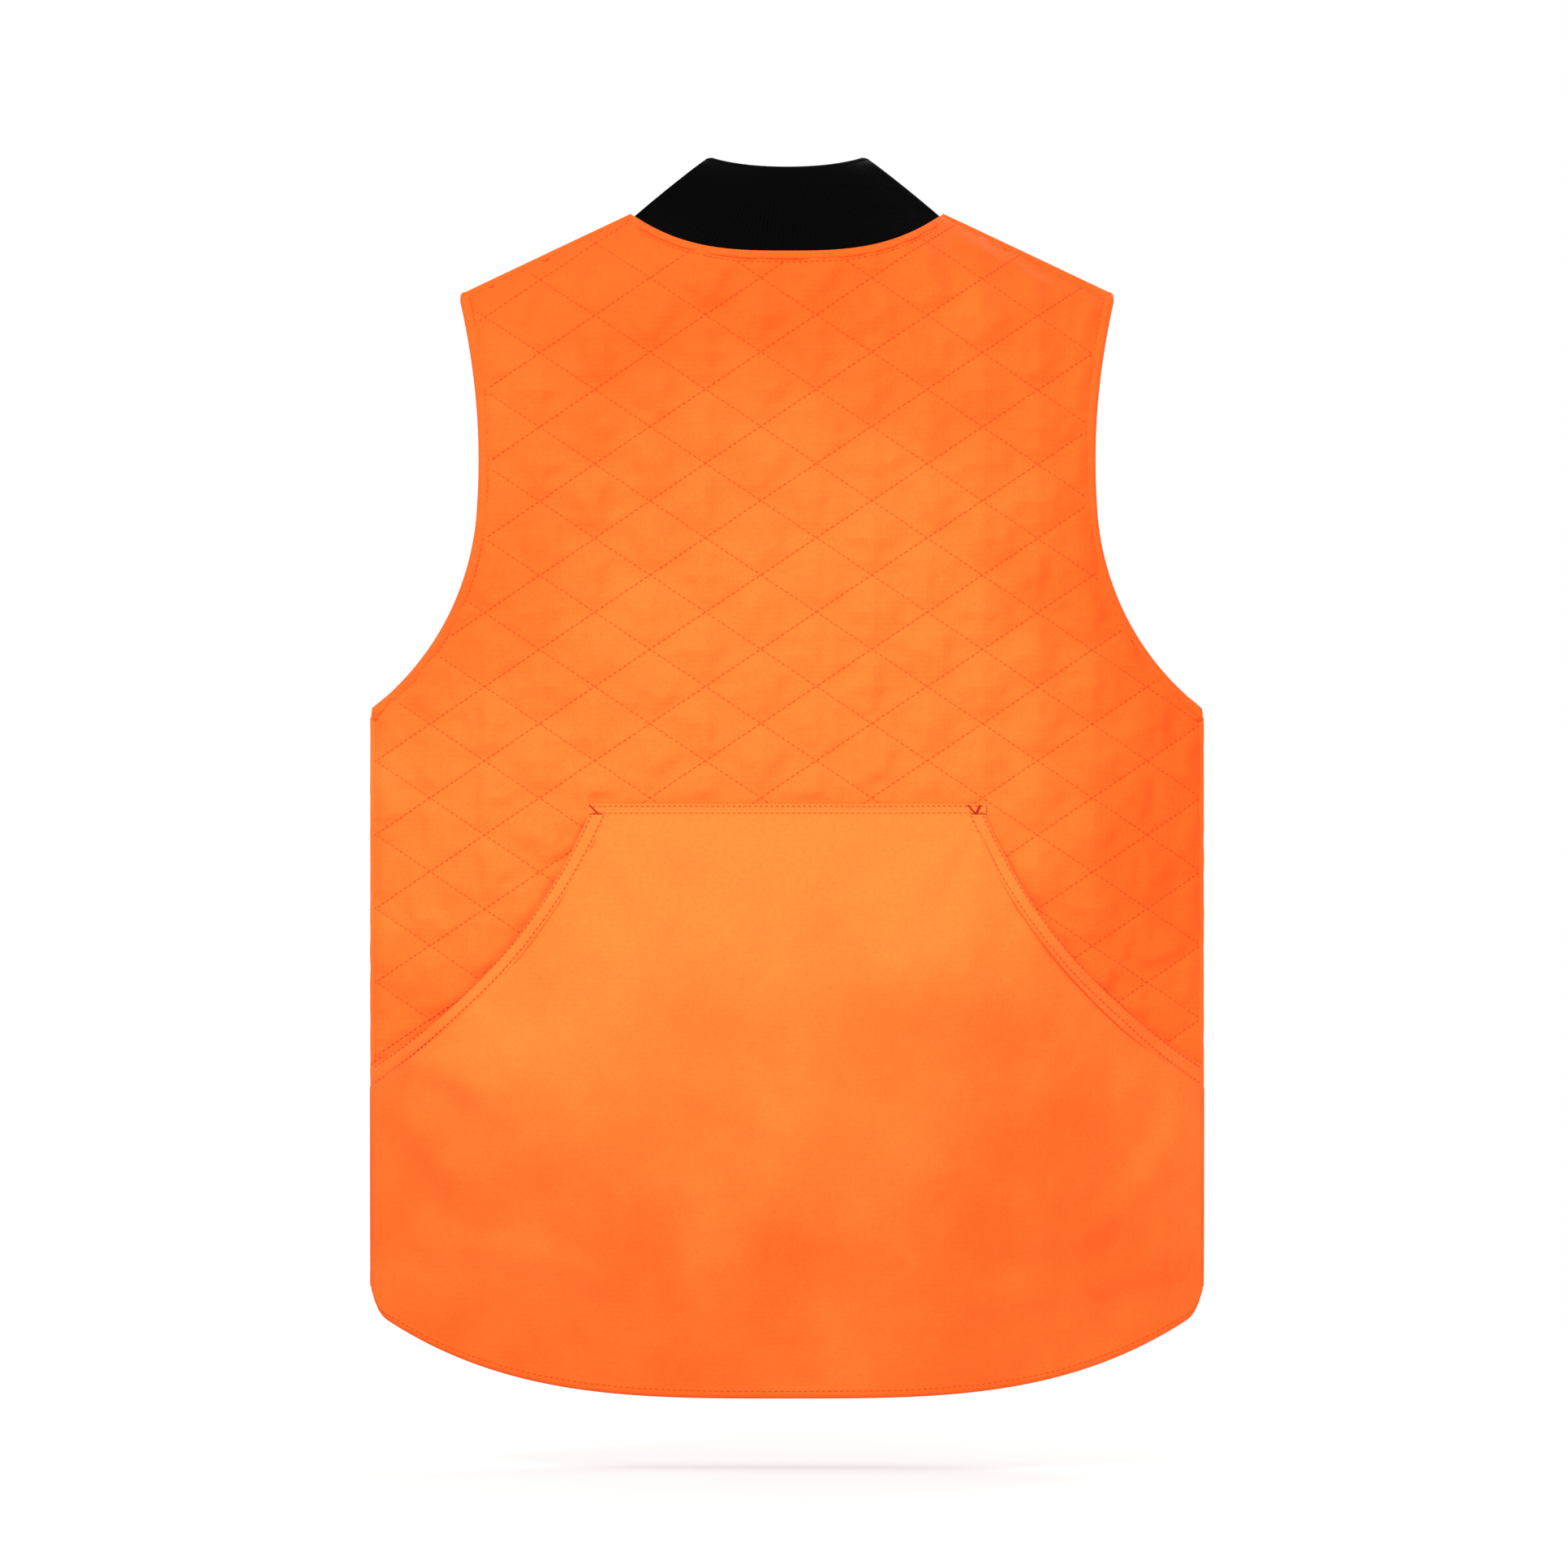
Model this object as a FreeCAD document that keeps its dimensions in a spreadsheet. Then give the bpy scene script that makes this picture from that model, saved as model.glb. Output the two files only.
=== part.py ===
"""Quilted blaze orange work vest, upright as it hangs on a coat hanger.

Row frame: +Z up, the vest's front faces -Y, and +X is the wearer's left. The origin is the
middle of the neck opening, at the height of the centre back neck seam.

Every layer of cloth follows one form: a lens, flat at the sides and ridged along the
shoulders. A layer is a closed solid between two smooth skins at steady distances from the
form, and the pouch on the back stands further off it. The front opens at a separating zip,
shown undone: each front edge folds back like a lapel about a vertical line below the neck.
"""
import math
import os

import FreeCAD
import Part
import Sketcher

vec = FreeCAD.Vector
doc = FreeCAD.newDocument("vest")
sheet = doc.addObject("Spreadsheet::Sheet", "Sizes")

SIZES = (
    ("chest_half", 275.0, "half the flat chest width"),
    ("form_depth", 55.0, "half the depth of the hanging vest, at its middle"),
    ("side_power", 2.4, "how the section curves from its middle to the side seam"),
    ("shoulder_round", 70.0, "height over which the section closes to the shoulder ridge"),
    ("side_reach", 264.0, "how far out the panels reach, where the side seam begins"),
    ("seam_depth", 5.0, "depth of the form where the panels end at a seam"),
    ("press", 2.2, "how strongly the layers press together toward a seam"),
    ("neck_half", 103.0, "half the neck width, where the shoulder seam starts"),
    ("neck_rise", 27.0, "neck point above the centre back neck seam"),
    ("tip_half", 215.0, "half the width over the shoulder tips"),
    ("tip_height", -26.5, "height of the shoulder tips"),
    ("front_neck", -75.0, "height of the centre front neck seam"),
    ("armhole_waist", 203.0, "half the width at the narrowest place between the armholes"),
    ("armhole_mid", -95.0, "height of the armhole's upper arc's middle"),
    ("armhole_low", -165.0, "height at which the armhole turns outward"),
    ("armpit_height", -301.0, "height of the armpit"),
    ("hem_height", -751.0, "height of the hem at its middle"),
    ("hem_lift", 44.0, "rise of the shirt-tail hem at hem_station"),
    ("hem_station", 256.0, "distance from the middle where hem_lift is taken"),
    ("hem_power", 3.34, "how the shirt-tail hem curves up"),
    ("shell_thick", 1.0, "quilted outer cloth"),
    ("batting_thick", 4.5, "insulation"),
    ("lining_thick", 1.0, "lining cloth"),
    ("armhole_hem", 7.0, "width of the armhole binding"),
    ("bottom_hem", 8.0, "width of the bottom hem"),
    ("skin_gap", 0.1, "space between two layers of cloth"),
    ("seam_gap", 0.8, "space between a panel's edge and the piece sewn along it"),
    ("side_gap", 2.8, "space between a panel's edge and the side seam"),
    ("edge_press", 1.0, "how much thinner the batting is, to each side, along a front edge"),
    ("pouch_top", -362.0, "height of the pouch's top edge"),
    ("pouch_half", 130.0, "half the length of the pouch's top edge"),
    ("pouch_band", 7.0, "height of the band along the pouch's top edge"),
    ("mouth_end", -527.0, "height at which a pouch mouth meets the side seam"),
    ("mouth_bow", 18.0, "how far a pouch mouth bows into the pouch"),
    ("lip_width", 10.0, "width of the hem along a pouch mouth"),
    ("lip_gap", 0.9, "space between a mouth's hem and the pouch panel"),
    ("pouch_bulge", 16.0, "how far the pouch stands off the back at its middle"),
    ("pouch_cloth", 1.2, "pouch cloth"),
    ("lip_thick", 1.8, "hemmed edge of the pouch cloth"),
    ("cloth_gap", 0.3, "space between the pouch cloth and the quilting where they meet"),
    ("fold_half", 100.0, "distance of a front edge's fold line from the middle"),
    ("fold_gap", 0.5, "space left at a fold line, to each side"),
    ("edge_half", 12.5, "distance of a front edge from the middle, zip undone"),
    ("batting_edge", 24.0, "distance of the batting from the middle, clear of the tapes"),
    ("pocket_in", 116.0, "front pocket's edge nearest the middle"),
    ("pocket_out", 250.0, "front pocket's edge nearest the side seam"),
    ("pocket_top", -470.0, "height of a front pocket's top edge"),
    ("pocket_foot", -664.0, "height of a front pocket's lower edge"),
    ("mouth_top", 165.0, "where a front pocket's slanting mouth leaves its top edge"),
    ("mouth_side", -590.0, "height at which the mouth meets the pocket's outer edge"),
    ("pocket_bulge", 10.0, "how far a front pocket stands off the front at its middle"),
    ("welt_width", 12.0, "width of the hem along a front pocket's mouth"),
    ("collar_top_half", 54.0, "half the collar's width at its top edge"),
    ("collar_back_depth", 46.0, "how far the collar's top edge is behind the neck's middle"),
    ("collar_front_depth", 49.0, "how far the collar's top edge is in front of it"),
    ("collar_back_top", 53.0, "height of the collar's top edge at the centre back"),
    ("collar_side_top", 62.5, "height of the collar's top edge over the neck point"),
    ("collar_front_rise", 47.0, "collar's height at the centre front"),
    ("collar_thick", 5.0, "double rib knit"),
    ("teeth_tip", 4.5, "distance of the zip's teeth from the middle, zip undone"),
    ("teeth_width", 3.5, "length of a tooth, across the zip"),
    ("teeth_thick", 2.4, "thickness of the teeth"),
    ("tooth_pitch", 3.4, "one tooth and one gap"),
    ("tooth_height", 1.7, "height of one tooth"),
    ("tape_plane", -53.3, "middle of the zip tapes, front to back"),
    ("tape_thick", 0.8, "zip tape"),
    ("tape_reach", 16.0, "width of one zip tape"),
    ("zip_top", -84.0, "height of the zip's upper end"),
    ("zip_foot", -740.0, "height of the zip's lower end"),
    ("slider_half", 6.0, "half the zip slider's width"),
    ("slider_thick", 7.0, "zip slider, front to back"),
    ("slider_tall", 14.0, "zip slider's height"),
    ("slider_middle", -3.0, "middle of the slider, which rides the right tape"),
    ("slider_foot", -726.0, "height of the slider's lower end, parked on the box"),
    ("slider_wall", 1.3, "slider's plates"),
    ("post_half", 1.1, "half the width of the post between the slider's channels"),
    ("bail_tall", 10.0, "height of the slider's bail"),
    ("bail_out", 3.4, "how far the bail stands off the slider's plate"),
    ("bail_half", 1.2, "half the bail's width"),
    ("pull_bar", 0.8, "radius of the pull's crossbar"),
    ("pull_half", 4.5, "half the pull's width"),
    ("pull_long", 30.0, "length of the pull"),
    ("pull_thick", 1.6, "thickness of the pull"),
    ("pull_window", 7.0, "length of the window at the pull's upper end"),
    ("pull_arm", 2.6, "half the width of the window"),
    ("box_half", 5.0, "half the width of the zip's retainer box"),
    ("box_tall", 13.0, "height of the retainer box"),
    ("pin_radius", 1.1, "zip's insertion pin"),
    ("pin_tall", 17.0, "height of the insertion pin"),
    ("stop_tall", 4.0, "height of a top stop"),
    ("loop_radius", 24.0, "radius of the hanger loop's arc"),
    ("loop_cord", 1.8, "radius of the loop's cord"),
    ("loop_turn", 134.0, "angle of the loop's arc"),
    ("loop_height", -6.0, "height at which the loop is sewn"),
    ("loop_plane", 46.0, "distance of the loop behind the neck's middle"),
    ("label_wide", 46.0, "blank neck label"),
    ("label_tall", 24.0, "height of the neck label"),
    ("label_top", -27.0, "height of the label's top edge"),
    ("label_thick", 0.5, "thickness of the label"),
    ("label_plane", 47.2, "distance of the label behind the neck's middle"),
    ("tack_long", 9.0, "length of a bar tack at the pouch's upper corners"),
    ("tack_wide", 1.6, "width of a bar tack"),
    ("tack_thick", 0.8, "height of a bar tack over the pouch's band"),
)
for row, (alias, value, note) in enumerate(SIZES, 1):
    sheet.set(f"A{row}", note)
    sheet.set(f"B{row}", str(value))
    sheet.setAlias(f"B{row}", alias)
doc.recompute()


def size(alias):
    """The value of a cell of the sheet."""
    return float(getattr(sheet, alias))


SIDES = (("left", 1), ("right", -1))

# ---------------------------------------------------------------- the form that cloth follows

SLOPE = (size("neck_rise") - size("tip_height")) / (size("tip_half") - size("neck_half"))
PEAK_ROUND = 20.0


def ridge(x):
    """Height of the shoulder ridge at x."""
    peak = size("neck_rise") + SLOPE * math.hypot(size("neck_half"), PEAK_ROUND)
    return peak - SLOPE * math.hypot(x, PEAK_ROUND)


def across(x):
    """How full the section is at x: 1 in the middle and 0 at the side seam."""
    return 1 - min(1.0, abs(x / size("chest_half"))) ** size("side_power")


def depth(x, z):
    """Distance of the form's surface from the plane y = 0, at x and z."""
    drop = min(1.0, max(0.0, (ridge(x) - z) / size("shoulder_round")))
    return size("form_depth") * across(x) * (1 - (1 - drop) ** size("side_power"))


def seam_level(x):
    """Height at which the form is just deep enough for the layers, below the shoulder ridge."""
    share = 1 - size("seam_depth") / (size("form_depth") * across(x))
    return ridge(x) - size("shoulder_round") * (1 - share ** (1 / size("side_power")))


def layer_depth(x, z, offset):
    """Depth of a surface at an offset from the form, outward if positive.

    Inner layers press together toward the seams, where the form is shallow.
    """
    full = depth(x, z)
    if offset >= 0:
        return full + offset
    return full + offset * full / (full + size("press"))


# ---------------------------------------------------------------- shapes, in short


def feature(name, shape):
    """A Part::Feature that holds a shape made with Part's own functions."""
    made = doc.addObject("Part::Feature", name)
    made.Shape = shape
    return made


def block(name, length, width, height, x, y, z):
    """A Part::Box whose sizes and place are expressions on the sheet."""
    made = doc.addObject("Part::Box", name)
    for key, value in (("Length", length), ("Width", width), ("Height", height)):
        made.setExpression(key, value)
    for key, value in (("x", x), ("y", y), ("z", z)):
        made.setExpression(f".Placement.Base.{key}", value)
    return made


def through(points):
    """The smooth surface through a grid of points."""
    surface = Part.BSplineSurface()
    surface.interpolate(points)
    return surface


def slab(name, outline, side, outer, inner):
    """Cloth over a grid of (x, z) places, between two distances off the form.

    side is 1 for the back and -1 for the front; outer and inner are functions of x and z.
    """
    grids = []
    for distance in (outer, inner):
        grids.append([[vec(x, side * distance(x, z), z) for x, z in column] for column in outline])
    return closed(name, *grids)


def closed(name, outer, inner):
    """The solid between two smooth surfaces, each through a grid of points."""
    skins = [through(grid) for grid in (outer, inner)]
    faces = [skin.toShape() for skin in skins]
    first_u, last_u, first_v, last_v = skins[0].bounds()
    for cut_at, places in (("uIso", (first_u, last_u)), ("vIso", (first_v, last_v))):
        for place in places:
            rims = [getattr(skin, cut_at)(place).toShape() for skin in skins]
            faces.append(Part.makeRuledSurface(*rims))
    skin = Part.Compound(faces)
    skin.sewShape()
    solid = Part.Solid(skin.Shells[0])
    if solid.Volume < 0:
        solid.reverse()
    return feature(name, solid)


def cloth(name, outline, side, outer, inner):
    """A layer of cloth between two offsets from the form, outward if positive."""
    parts.append(
        slab(
            name, outline, side,
            lambda x, z: layer_depth(x, z, outer), lambda x, z: layer_depth(x, z, inner),
        )
    )


def mirrored(outline):
    """The outline's mirror image, across x = 0."""
    return [[(-x, z) for x, z in column] for column in outline]


def on_side(outline, side):
    return outline if side > 0 else mirrored(outline)


def blend(start, end, share):
    return start + (end - start) * share


def steps(count):
    """Equal steps from 0 to 1."""
    return [number / count for number in range(count + 1)]


# ---------------------------------------------------------------- outlines, in the plane y = 0

ROWS = 28


def back_neckline(x):
    return size("neck_rise") * abs(x / size("neck_half")) ** 3


def front_neckline(x):
    fall = size("neck_rise") - size("front_neck")
    return size("front_neck") + fall * abs(x / size("neck_half")) ** 2.2


def hemline(x):
    lift = abs(x / size("hem_station")) ** size("hem_power")
    return size("hem_height") + size("hem_lift") * lift


def arc_points(start, middle, end, count):
    """Points along the arc through three places of the plane y = 0."""
    ends = [vec(p[0], 0, p[1]) for p in (start, middle, end)]
    return [(p.x, p.z) for p in Part.Arc(*ends).toShape().discretize(count)]


def evenly(places, count):
    """Places at equal steps along the straight runs between the given ones."""
    lengths = [0.0]
    for start, end in zip(places, places[1:]):
        lengths.append(lengths[-1] + math.dist(start, end))
    made = []
    for share in steps(count):
        along = share * lengths[-1]
        run = max(n for n in range(len(places) - 1) if lengths[n] <= along + 1e-9)
        part_way = (along - lengths[run]) / (lengths[run + 1] - lengths[run])
        start, end = places[run], places[run + 1]
        made.append((blend(start[0], end[0], part_way), blend(start[1], end[1], part_way)))
    return made


def armhole_curve(grow):
    """The left armhole's edge, taken grow further into the cloth, from the tip to the armpit."""
    tip = (size("tip_half") - grow, seam_level(size("tip_half") - grow))
    bow = (size("armhole_waist") + 1.0 - grow, size("armhole_mid"))
    turn = (size("armhole_waist") - grow, size("armhole_low"))
    knee = (size("armhole_waist") + 19.0 - 0.78 * grow, size("armhole_low") - 73.0 - 0.62 * grow)
    pit = (size("side_reach"), size("armpit_height") + 9.5 - 1.4 * grow)
    return evenly(arc_points(tip, bow, turn, 7) + arc_points(turn, knee, pit, 8)[1:], 12)


def side_curve(grow):
    """The left edge of the back or front, from the shoulder down to the hem."""
    foot = hemline(size("side_reach")) + size("bottom_hem")
    return evenly(armhole_curve(grow) + [(size("side_reach"), foot)], ROWS)


def back_outline():
    """The back, inside its hems."""
    edge = side_curve(size("armhole_hem"))
    return [panel_column(2 * share - 1, edge, 0.0, back_neckline) for share in steps(24)]


def panel_column(share, edge, near, neckline):
    """Places down a panel, at a share of the way from x = near to its side edge."""
    top_x = math.copysign(blend(near, edge[0][0], abs(share)), share or 1)
    neck = neckline(top_x) if abs(top_x) <= size("neck_half") else 999.0
    top = min(neck, seam_level(top_x))
    places = []
    for x_edge, z_edge in edge:
        x = math.copysign(blend(near, x_edge, abs(share)), share or 1)
        foot = hemline(x) + size("bottom_hem")
        fall = (edge[0][1] - z_edge) / (edge[0][1] - edge[-1][1])
        places.append((x, blend(top, foot, fall)))
    return places


def front_outline(near):
    """A front from x = near to its side, inside its hems."""
    edge = side_curve(size("armhole_hem"))
    return [panel_column(u, edge, near, front_neckline) for u in steps(8)]


def edge_outline(near, far):
    """A front's edge, from x = near to x = far, inside its hem."""
    outline = []
    for share in steps(6):
        x = blend(near, far, share)
        top = min(front_neckline(x), seam_level(x))
        foot = hemline(x) + size("bottom_hem")
        outline.append([(x, blend(top, foot, fall)) for fall in steps(ROWS)])
    return outline


def hem_outline(near, far, count):
    """A stretch of the bottom hem."""
    outline = []
    for share in steps(count):
        x = blend(near, far, share)
        low = hemline(x)
        high = low + size("bottom_hem") - size("skin_gap")
        outline.append([(x, blend(low, high, rise)) for rise in steps(3)])
    return outline


def mouth_curve(inset):
    """The left pouch mouth, moved into the pouch by inset, from its top to the side seam."""
    start = vec(size("pouch_half"), 0, size("pouch_top") - size("pouch_band") - 1)
    end = vec(size("side_reach"), 0, size("mouth_end"))
    along = (end - start).normalize()
    inward = vec(along.z, 0, -along.x)
    middle = (start + end) * 0.5 + inward * (size("mouth_bow") + inset)
    start += vec(-1.25 * inset, 0, 0)
    end += vec(0, 0, -1.6 * inset)
    return arc_points(*[(p.x, p.z) for p in (start, middle, end)], 10)


# ---------------------------------------------------------------- layers of cloth

shell_in = -size("shell_thick")
batting_out = shell_in - size("skin_gap")
batting_in = batting_out - size("batting_thick")
lining_out = batting_in - size("skin_gap")
lining_in = lining_out - size("lining_thick")
LAYERS = (
    ("shell", 0.0, shell_in),
    ("batting", batting_out, batting_in),
    ("lining", lining_out, lining_in),
)
FACES = (("back", 1), ("front", -1))


# ---------------------------------------------------------------- back, seams and bindings


def make_back():
    """The quilted back: shell, batting and lining."""
    outline = back_outline()
    for name, outer, inner in LAYERS:
        cloth(f"back_{name}", outline, 1, outer, inner)


def make_armhole_bindings():
    """The bound edge of each armhole, on the back and on the front."""
    outline = []
    for share in steps(3):
        outline.append(armhole_curve(share * (size("armhole_hem") - size("seam_gap"))))
    for name, side in SIDES:
        for face_name, away in FACES:
            cloth(f"armhole_binding_{face_name}_{name}", on_side(outline, side), away, 0.5, lining_in)


def make_seams():
    """The side seams and the shoulder seams, where the back and the front meet."""
    gap = size("seam_gap")
    edge = size("seam_depth") - gap
    reach = size("side_reach") + size("side_gap")
    for name, side in SIDES:
        ends = []
        high = (size("armpit_height") + 8, size("armpit_height"))
        for near_z, far_z in (high, (hemline(reach) + 1, hemline(size("chest_half")) + 1)):
            far = vec(side * size("chest_half"), 0, far_z)
            near = [vec(side * reach, away * (edge - gap), near_z) for away in (1, -1)]
            ends.append(Part.makePolygon([near[0], far, near[1], near[0]]))
        parts.append(feature(f"side_seam_{name}", Part.makeLoft(ends, True, True)))
        ends = []
        for share in steps(6):
            x = blend(size("neck_half") + 1, size("tip_half"), share)
            low = seam_level(x) + 2 * gap
            near = edge - gap
            corners = [vec(side * x, near, low), vec(side * x, 0, ridge(x)), vec(side * x, -near, low)]
            ends.append(Part.makePolygon(corners + corners[:1]))
        parts.append(feature(f"shoulder_seam_{name}", Part.makeLoft(ends, True, True)))


# ---------------------------------------------------------------- pouch on the back


def pouch_stand(x, z):
    """How far the pouch stands off the quilted back at x and z."""
    low = hemline(x) + size("bottom_hem")
    high = size("pouch_top") - size("pouch_band")
    share = min(1.0, max(0.0, (high - z) / (high - low)))
    return size("pouch_bulge") * math.sin(math.pi * share) * across(x) ** 0.6


def pouch_cloth(name, outline, thick):
    """A piece of the pouch, which stands off the back."""
    near = size("cloth_gap")
    parts.append(
        slab(
            name, outline, 1,
            lambda x, z: depth(x, z) + pouch_stand(x, z) + near + thick,
            lambda x, z: depth(x, z) + pouch_stand(x, z) + near,
        )
    )


def make_pouch():
    """The pouch's panel, its top band and the hemmed lips of its two side mouths."""
    gap = size("skin_gap")
    edge = mouth_curve(size("lip_width") + size("lip_gap"))
    foot = hemline(size("side_reach")) + size("bottom_hem") + gap
    edge = evenly(edge + [(size("side_reach"), foot)], ROWS)
    outline = []
    for share in steps(16):
        u = 2 * share - 1
        column = []
        for x_edge, z_edge in edge:
            fall = (edge[0][1] - z_edge) / (edge[0][1] - edge[-1][1])
            x = u * x_edge
            low = hemline(x) + size("bottom_hem") + gap
            column.append((x, blend(edge[0][1], low, fall)))
        outline.append(column)
    pouch_cloth("pouch_panel", outline, size("pouch_cloth"))

    lip = [mouth_curve(share * size("lip_width")) for share in steps(3)]
    for name, side in SIDES:
        pouch_cloth(f"pouch_lip_{name}", on_side(lip, side), size("lip_thick"))

    band = []
    half = size("pouch_half")
    low = size("pouch_top") - size("pouch_band")
    for share in steps(10):
        x = blend(-half, half, share)
        band.append([(x, blend(low, size("pouch_top"), rise)) for rise in steps(3)])
    pouch_cloth("pouch_top_band", band, size("lip_thick"))


def make_bar_tacks():
    """A short dense row of stitches over each end of the pouch's top band."""
    x = size("pouch_half") - 5.0
    z = size("pouch_top") - size("pouch_band") / 2
    lean = math.degrees(math.atan(depth(x - 1, z) - depth(x, z)))
    for name, side in SIDES:
        made = doc.addObject("Part::Box", f"pouch_bar_tack_{name}")
        made.setExpression("Length", "Sizes.tack_wide")
        made.setExpression("Width", "Sizes.tack_thick")
        made.setExpression("Height", "Sizes.pouch_band - 1")
        stand = size("cloth_gap") + size("lip_thick") + 0.5
        foot = vec(side * x - size("tack_wide") / 2, depth(x, z) + stand, z - (size("pouch_band") - 1) / 2)
        made.Placement = FreeCAD.Placement(foot, FreeCAD.Rotation(vec(0, 0, 1), -side * lean))
        parts.append(made)


def make_hems():
    """The bottom hem along the back and along each front, parted at the fold lines."""
    over = size("cloth_gap") + size("pouch_cloth")
    reach = size("side_reach")
    cloth("hem_back", hem_outline(-reach, reach, 20), 1, over, lining_in)
    fold, gap = size("fold_half"), size("fold_gap")
    for name, side in SIDES:
        fixed = on_side(hem_outline(fold + gap, reach, 8), side)
        moving = on_side(hem_outline(size("edge_half"), fold - gap, 4), side)
        cloth(f"hem_front_{name}", fixed, -1, 0.5, lining_in)
        cloth(f"hem_edge_{name}", moving, -1, 0.5, lining_in)


# ---------------------------------------------------------------- fronts


def make_fronts():
    """Each front in two stretches: one that stays and one that folds back at the zip."""
    fold, gap = size("fold_half"), size("fold_gap")
    for name, side in SIDES:
        fixed = on_side(front_outline(fold + gap), side)
        for layer_name, outer, inner in LAYERS:
            cloth(f"front_{name}_{layer_name}", fixed, -1, outer, inner)
            near, press = size("edge_half"), 0.0
            if layer_name == "batting":
                near, press = size("batting_edge"), size("edge_press")
            moving = on_side(edge_outline(near, fold - gap), side)
            cloth(f"front_edge_{name}_{layer_name}", moving, -1, outer - press, inner + press)


def pocket_stand(x, z):
    """How far a front pocket stands off the front at x and z."""
    aside = (abs(x) - size("pocket_in")) / (size("pocket_out") - size("pocket_in"))
    down = (size("pocket_top") - z) / (size("pocket_top") - size("pocket_foot"))
    return size("pocket_bulge") * math.sin(math.pi * aside) * math.sin(math.pi * down)


def pocket_cloth(name, outline, thick):
    """A piece of a front pocket, which stands off the front."""
    near = size("cloth_gap")
    parts.append(
        slab(
            name, outline, -1,
            lambda x, z: depth(x, z) + pocket_stand(x, z) + near + thick,
            lambda x, z: depth(x, z) + pocket_stand(x, z) + near,
        )
    )


def make_front_pockets():
    """A patch pocket on each front, open along its slanting mouth, with a hemmed edge there."""
    inner, outer = size("pocket_in"), size("pocket_out")
    high, foot = size("pocket_top"), size("pocket_foot")
    slant = (high - size("mouth_side")) / (outer - size("mouth_top"))
    welt = size("welt_width")
    patch = []
    for share in steps(14):
        x = blend(inner, outer, share)
        top = min(high, high - (x - size("mouth_top") + welt + size("seam_gap")) * slant)
        patch.append([(x, blend(foot, top, rise)) for rise in steps(12)])
    mouth = []
    for share in steps(8):
        x = blend(size("mouth_top"), outer, share)
        near = (max(inner, x - welt), high - (x - size("mouth_top")) * slant)
        mouth.append([(blend(near[0], x, rise), near[1]) for rise in steps(3)])
    for name, side in SIDES:
        pocket_cloth(f"front_pocket_{name}", on_side(patch, side), size("pouch_cloth"))
        pocket_cloth(f"pocket_mouth_{name}", on_side(mouth, side), size("lip_thick"))


# ---------------------------------------------------------------- collar

def collar_column(turn, layer):
    """Places up the collar at an angle round the neck, in degrees from the centre back.

    layer is 0 for the outside and 1 for the inside.
    """
    sideways = math.sin(math.radians(turn))
    away = math.cos(math.radians(turn))
    front = abs(turn) > 90
    seam_x = (size("neck_half") - 1.5) * sideways
    foot = front_neckline(seam_x) if front else back_neckline(seam_x)
    seam_y = max(0.3, depth(seam_x, foot) - (0.3, 5.9)[layer]) * (-1 if front else 1)
    rise = abs(away) ** 1.5
    side_rise = size("collar_side_top") - size("neck_rise")
    if front:
        reach = size("collar_front_depth")
        top = foot + side_rise + (size("collar_front_rise") - side_rise) * rise
    else:
        reach = size("collar_back_depth")
        top = size("collar_side_top") - (size("collar_side_top") - size("collar_back_top")) * rise
    inset = size("collar_thick") * layer
    top_x = (size("collar_top_half") - inset) * sideways
    top_y = (reach - inset) * away
    column = []
    for share in steps(4):
        column.append(
            vec(
                blend(seam_x * (1 - 0.04 * layer), top_x, share), blend(seam_y, top_y, share),
                blend(foot + 0.8, top, share),
            )
        )
    return column


def collar_piece(name, start, end):
    """A stretch of the collar between two angles round the neck."""
    turns = [blend(start, end, share) for share in steps(16)]
    outer, inner = [[collar_column(turn, layer) for turn in turns] for layer in (0, 1)]
    parts.append(closed(name, outer, inner))


def make_collar():
    """The rib knit collar: the back stretch, and a front stretch on each front edge."""
    collar_piece("collar_back", -102.5, 102.5)
    end = 180 - math.degrees(math.asin(size("edge_half") / size("neck_half")))
    for name, side in SIDES:
        collar_piece(f"collar_{name}", side * 104.5, side * end)


# ---------------------------------------------------------------- zip


def sided_block(name, side, near, far, low, high, foot, top):
    """A box from near to far from the middle, on one side, as expressions."""
    start = near if side > 0 else f"-({far})"
    return block(
        name, f"({far}) - ({near})", f"({high}) - ({low})", f"({top}) - ({foot})", start, low, foot
    )


def body(name):
    made = doc.addObject("PartDesign::Body", name)
    return made


def plane(owner, role):
    return next(f for f in owner.Origin.OriginFeatures if f.Role == role)


def sketch(owner, name, role, offset):
    """An empty sketch on one of the body's own planes, moved along the plane's normal."""
    made = owner.newObject("Sketcher::SketchObject", name)
    made.AttachmentSupport = [(plane(owner, role), "")]
    made.MapMode = "FlatFace"
    made.AttachmentOffset = FreeCAD.Placement(vec(0, 0, offset), FreeCAD.Rotation())
    return made


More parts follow.
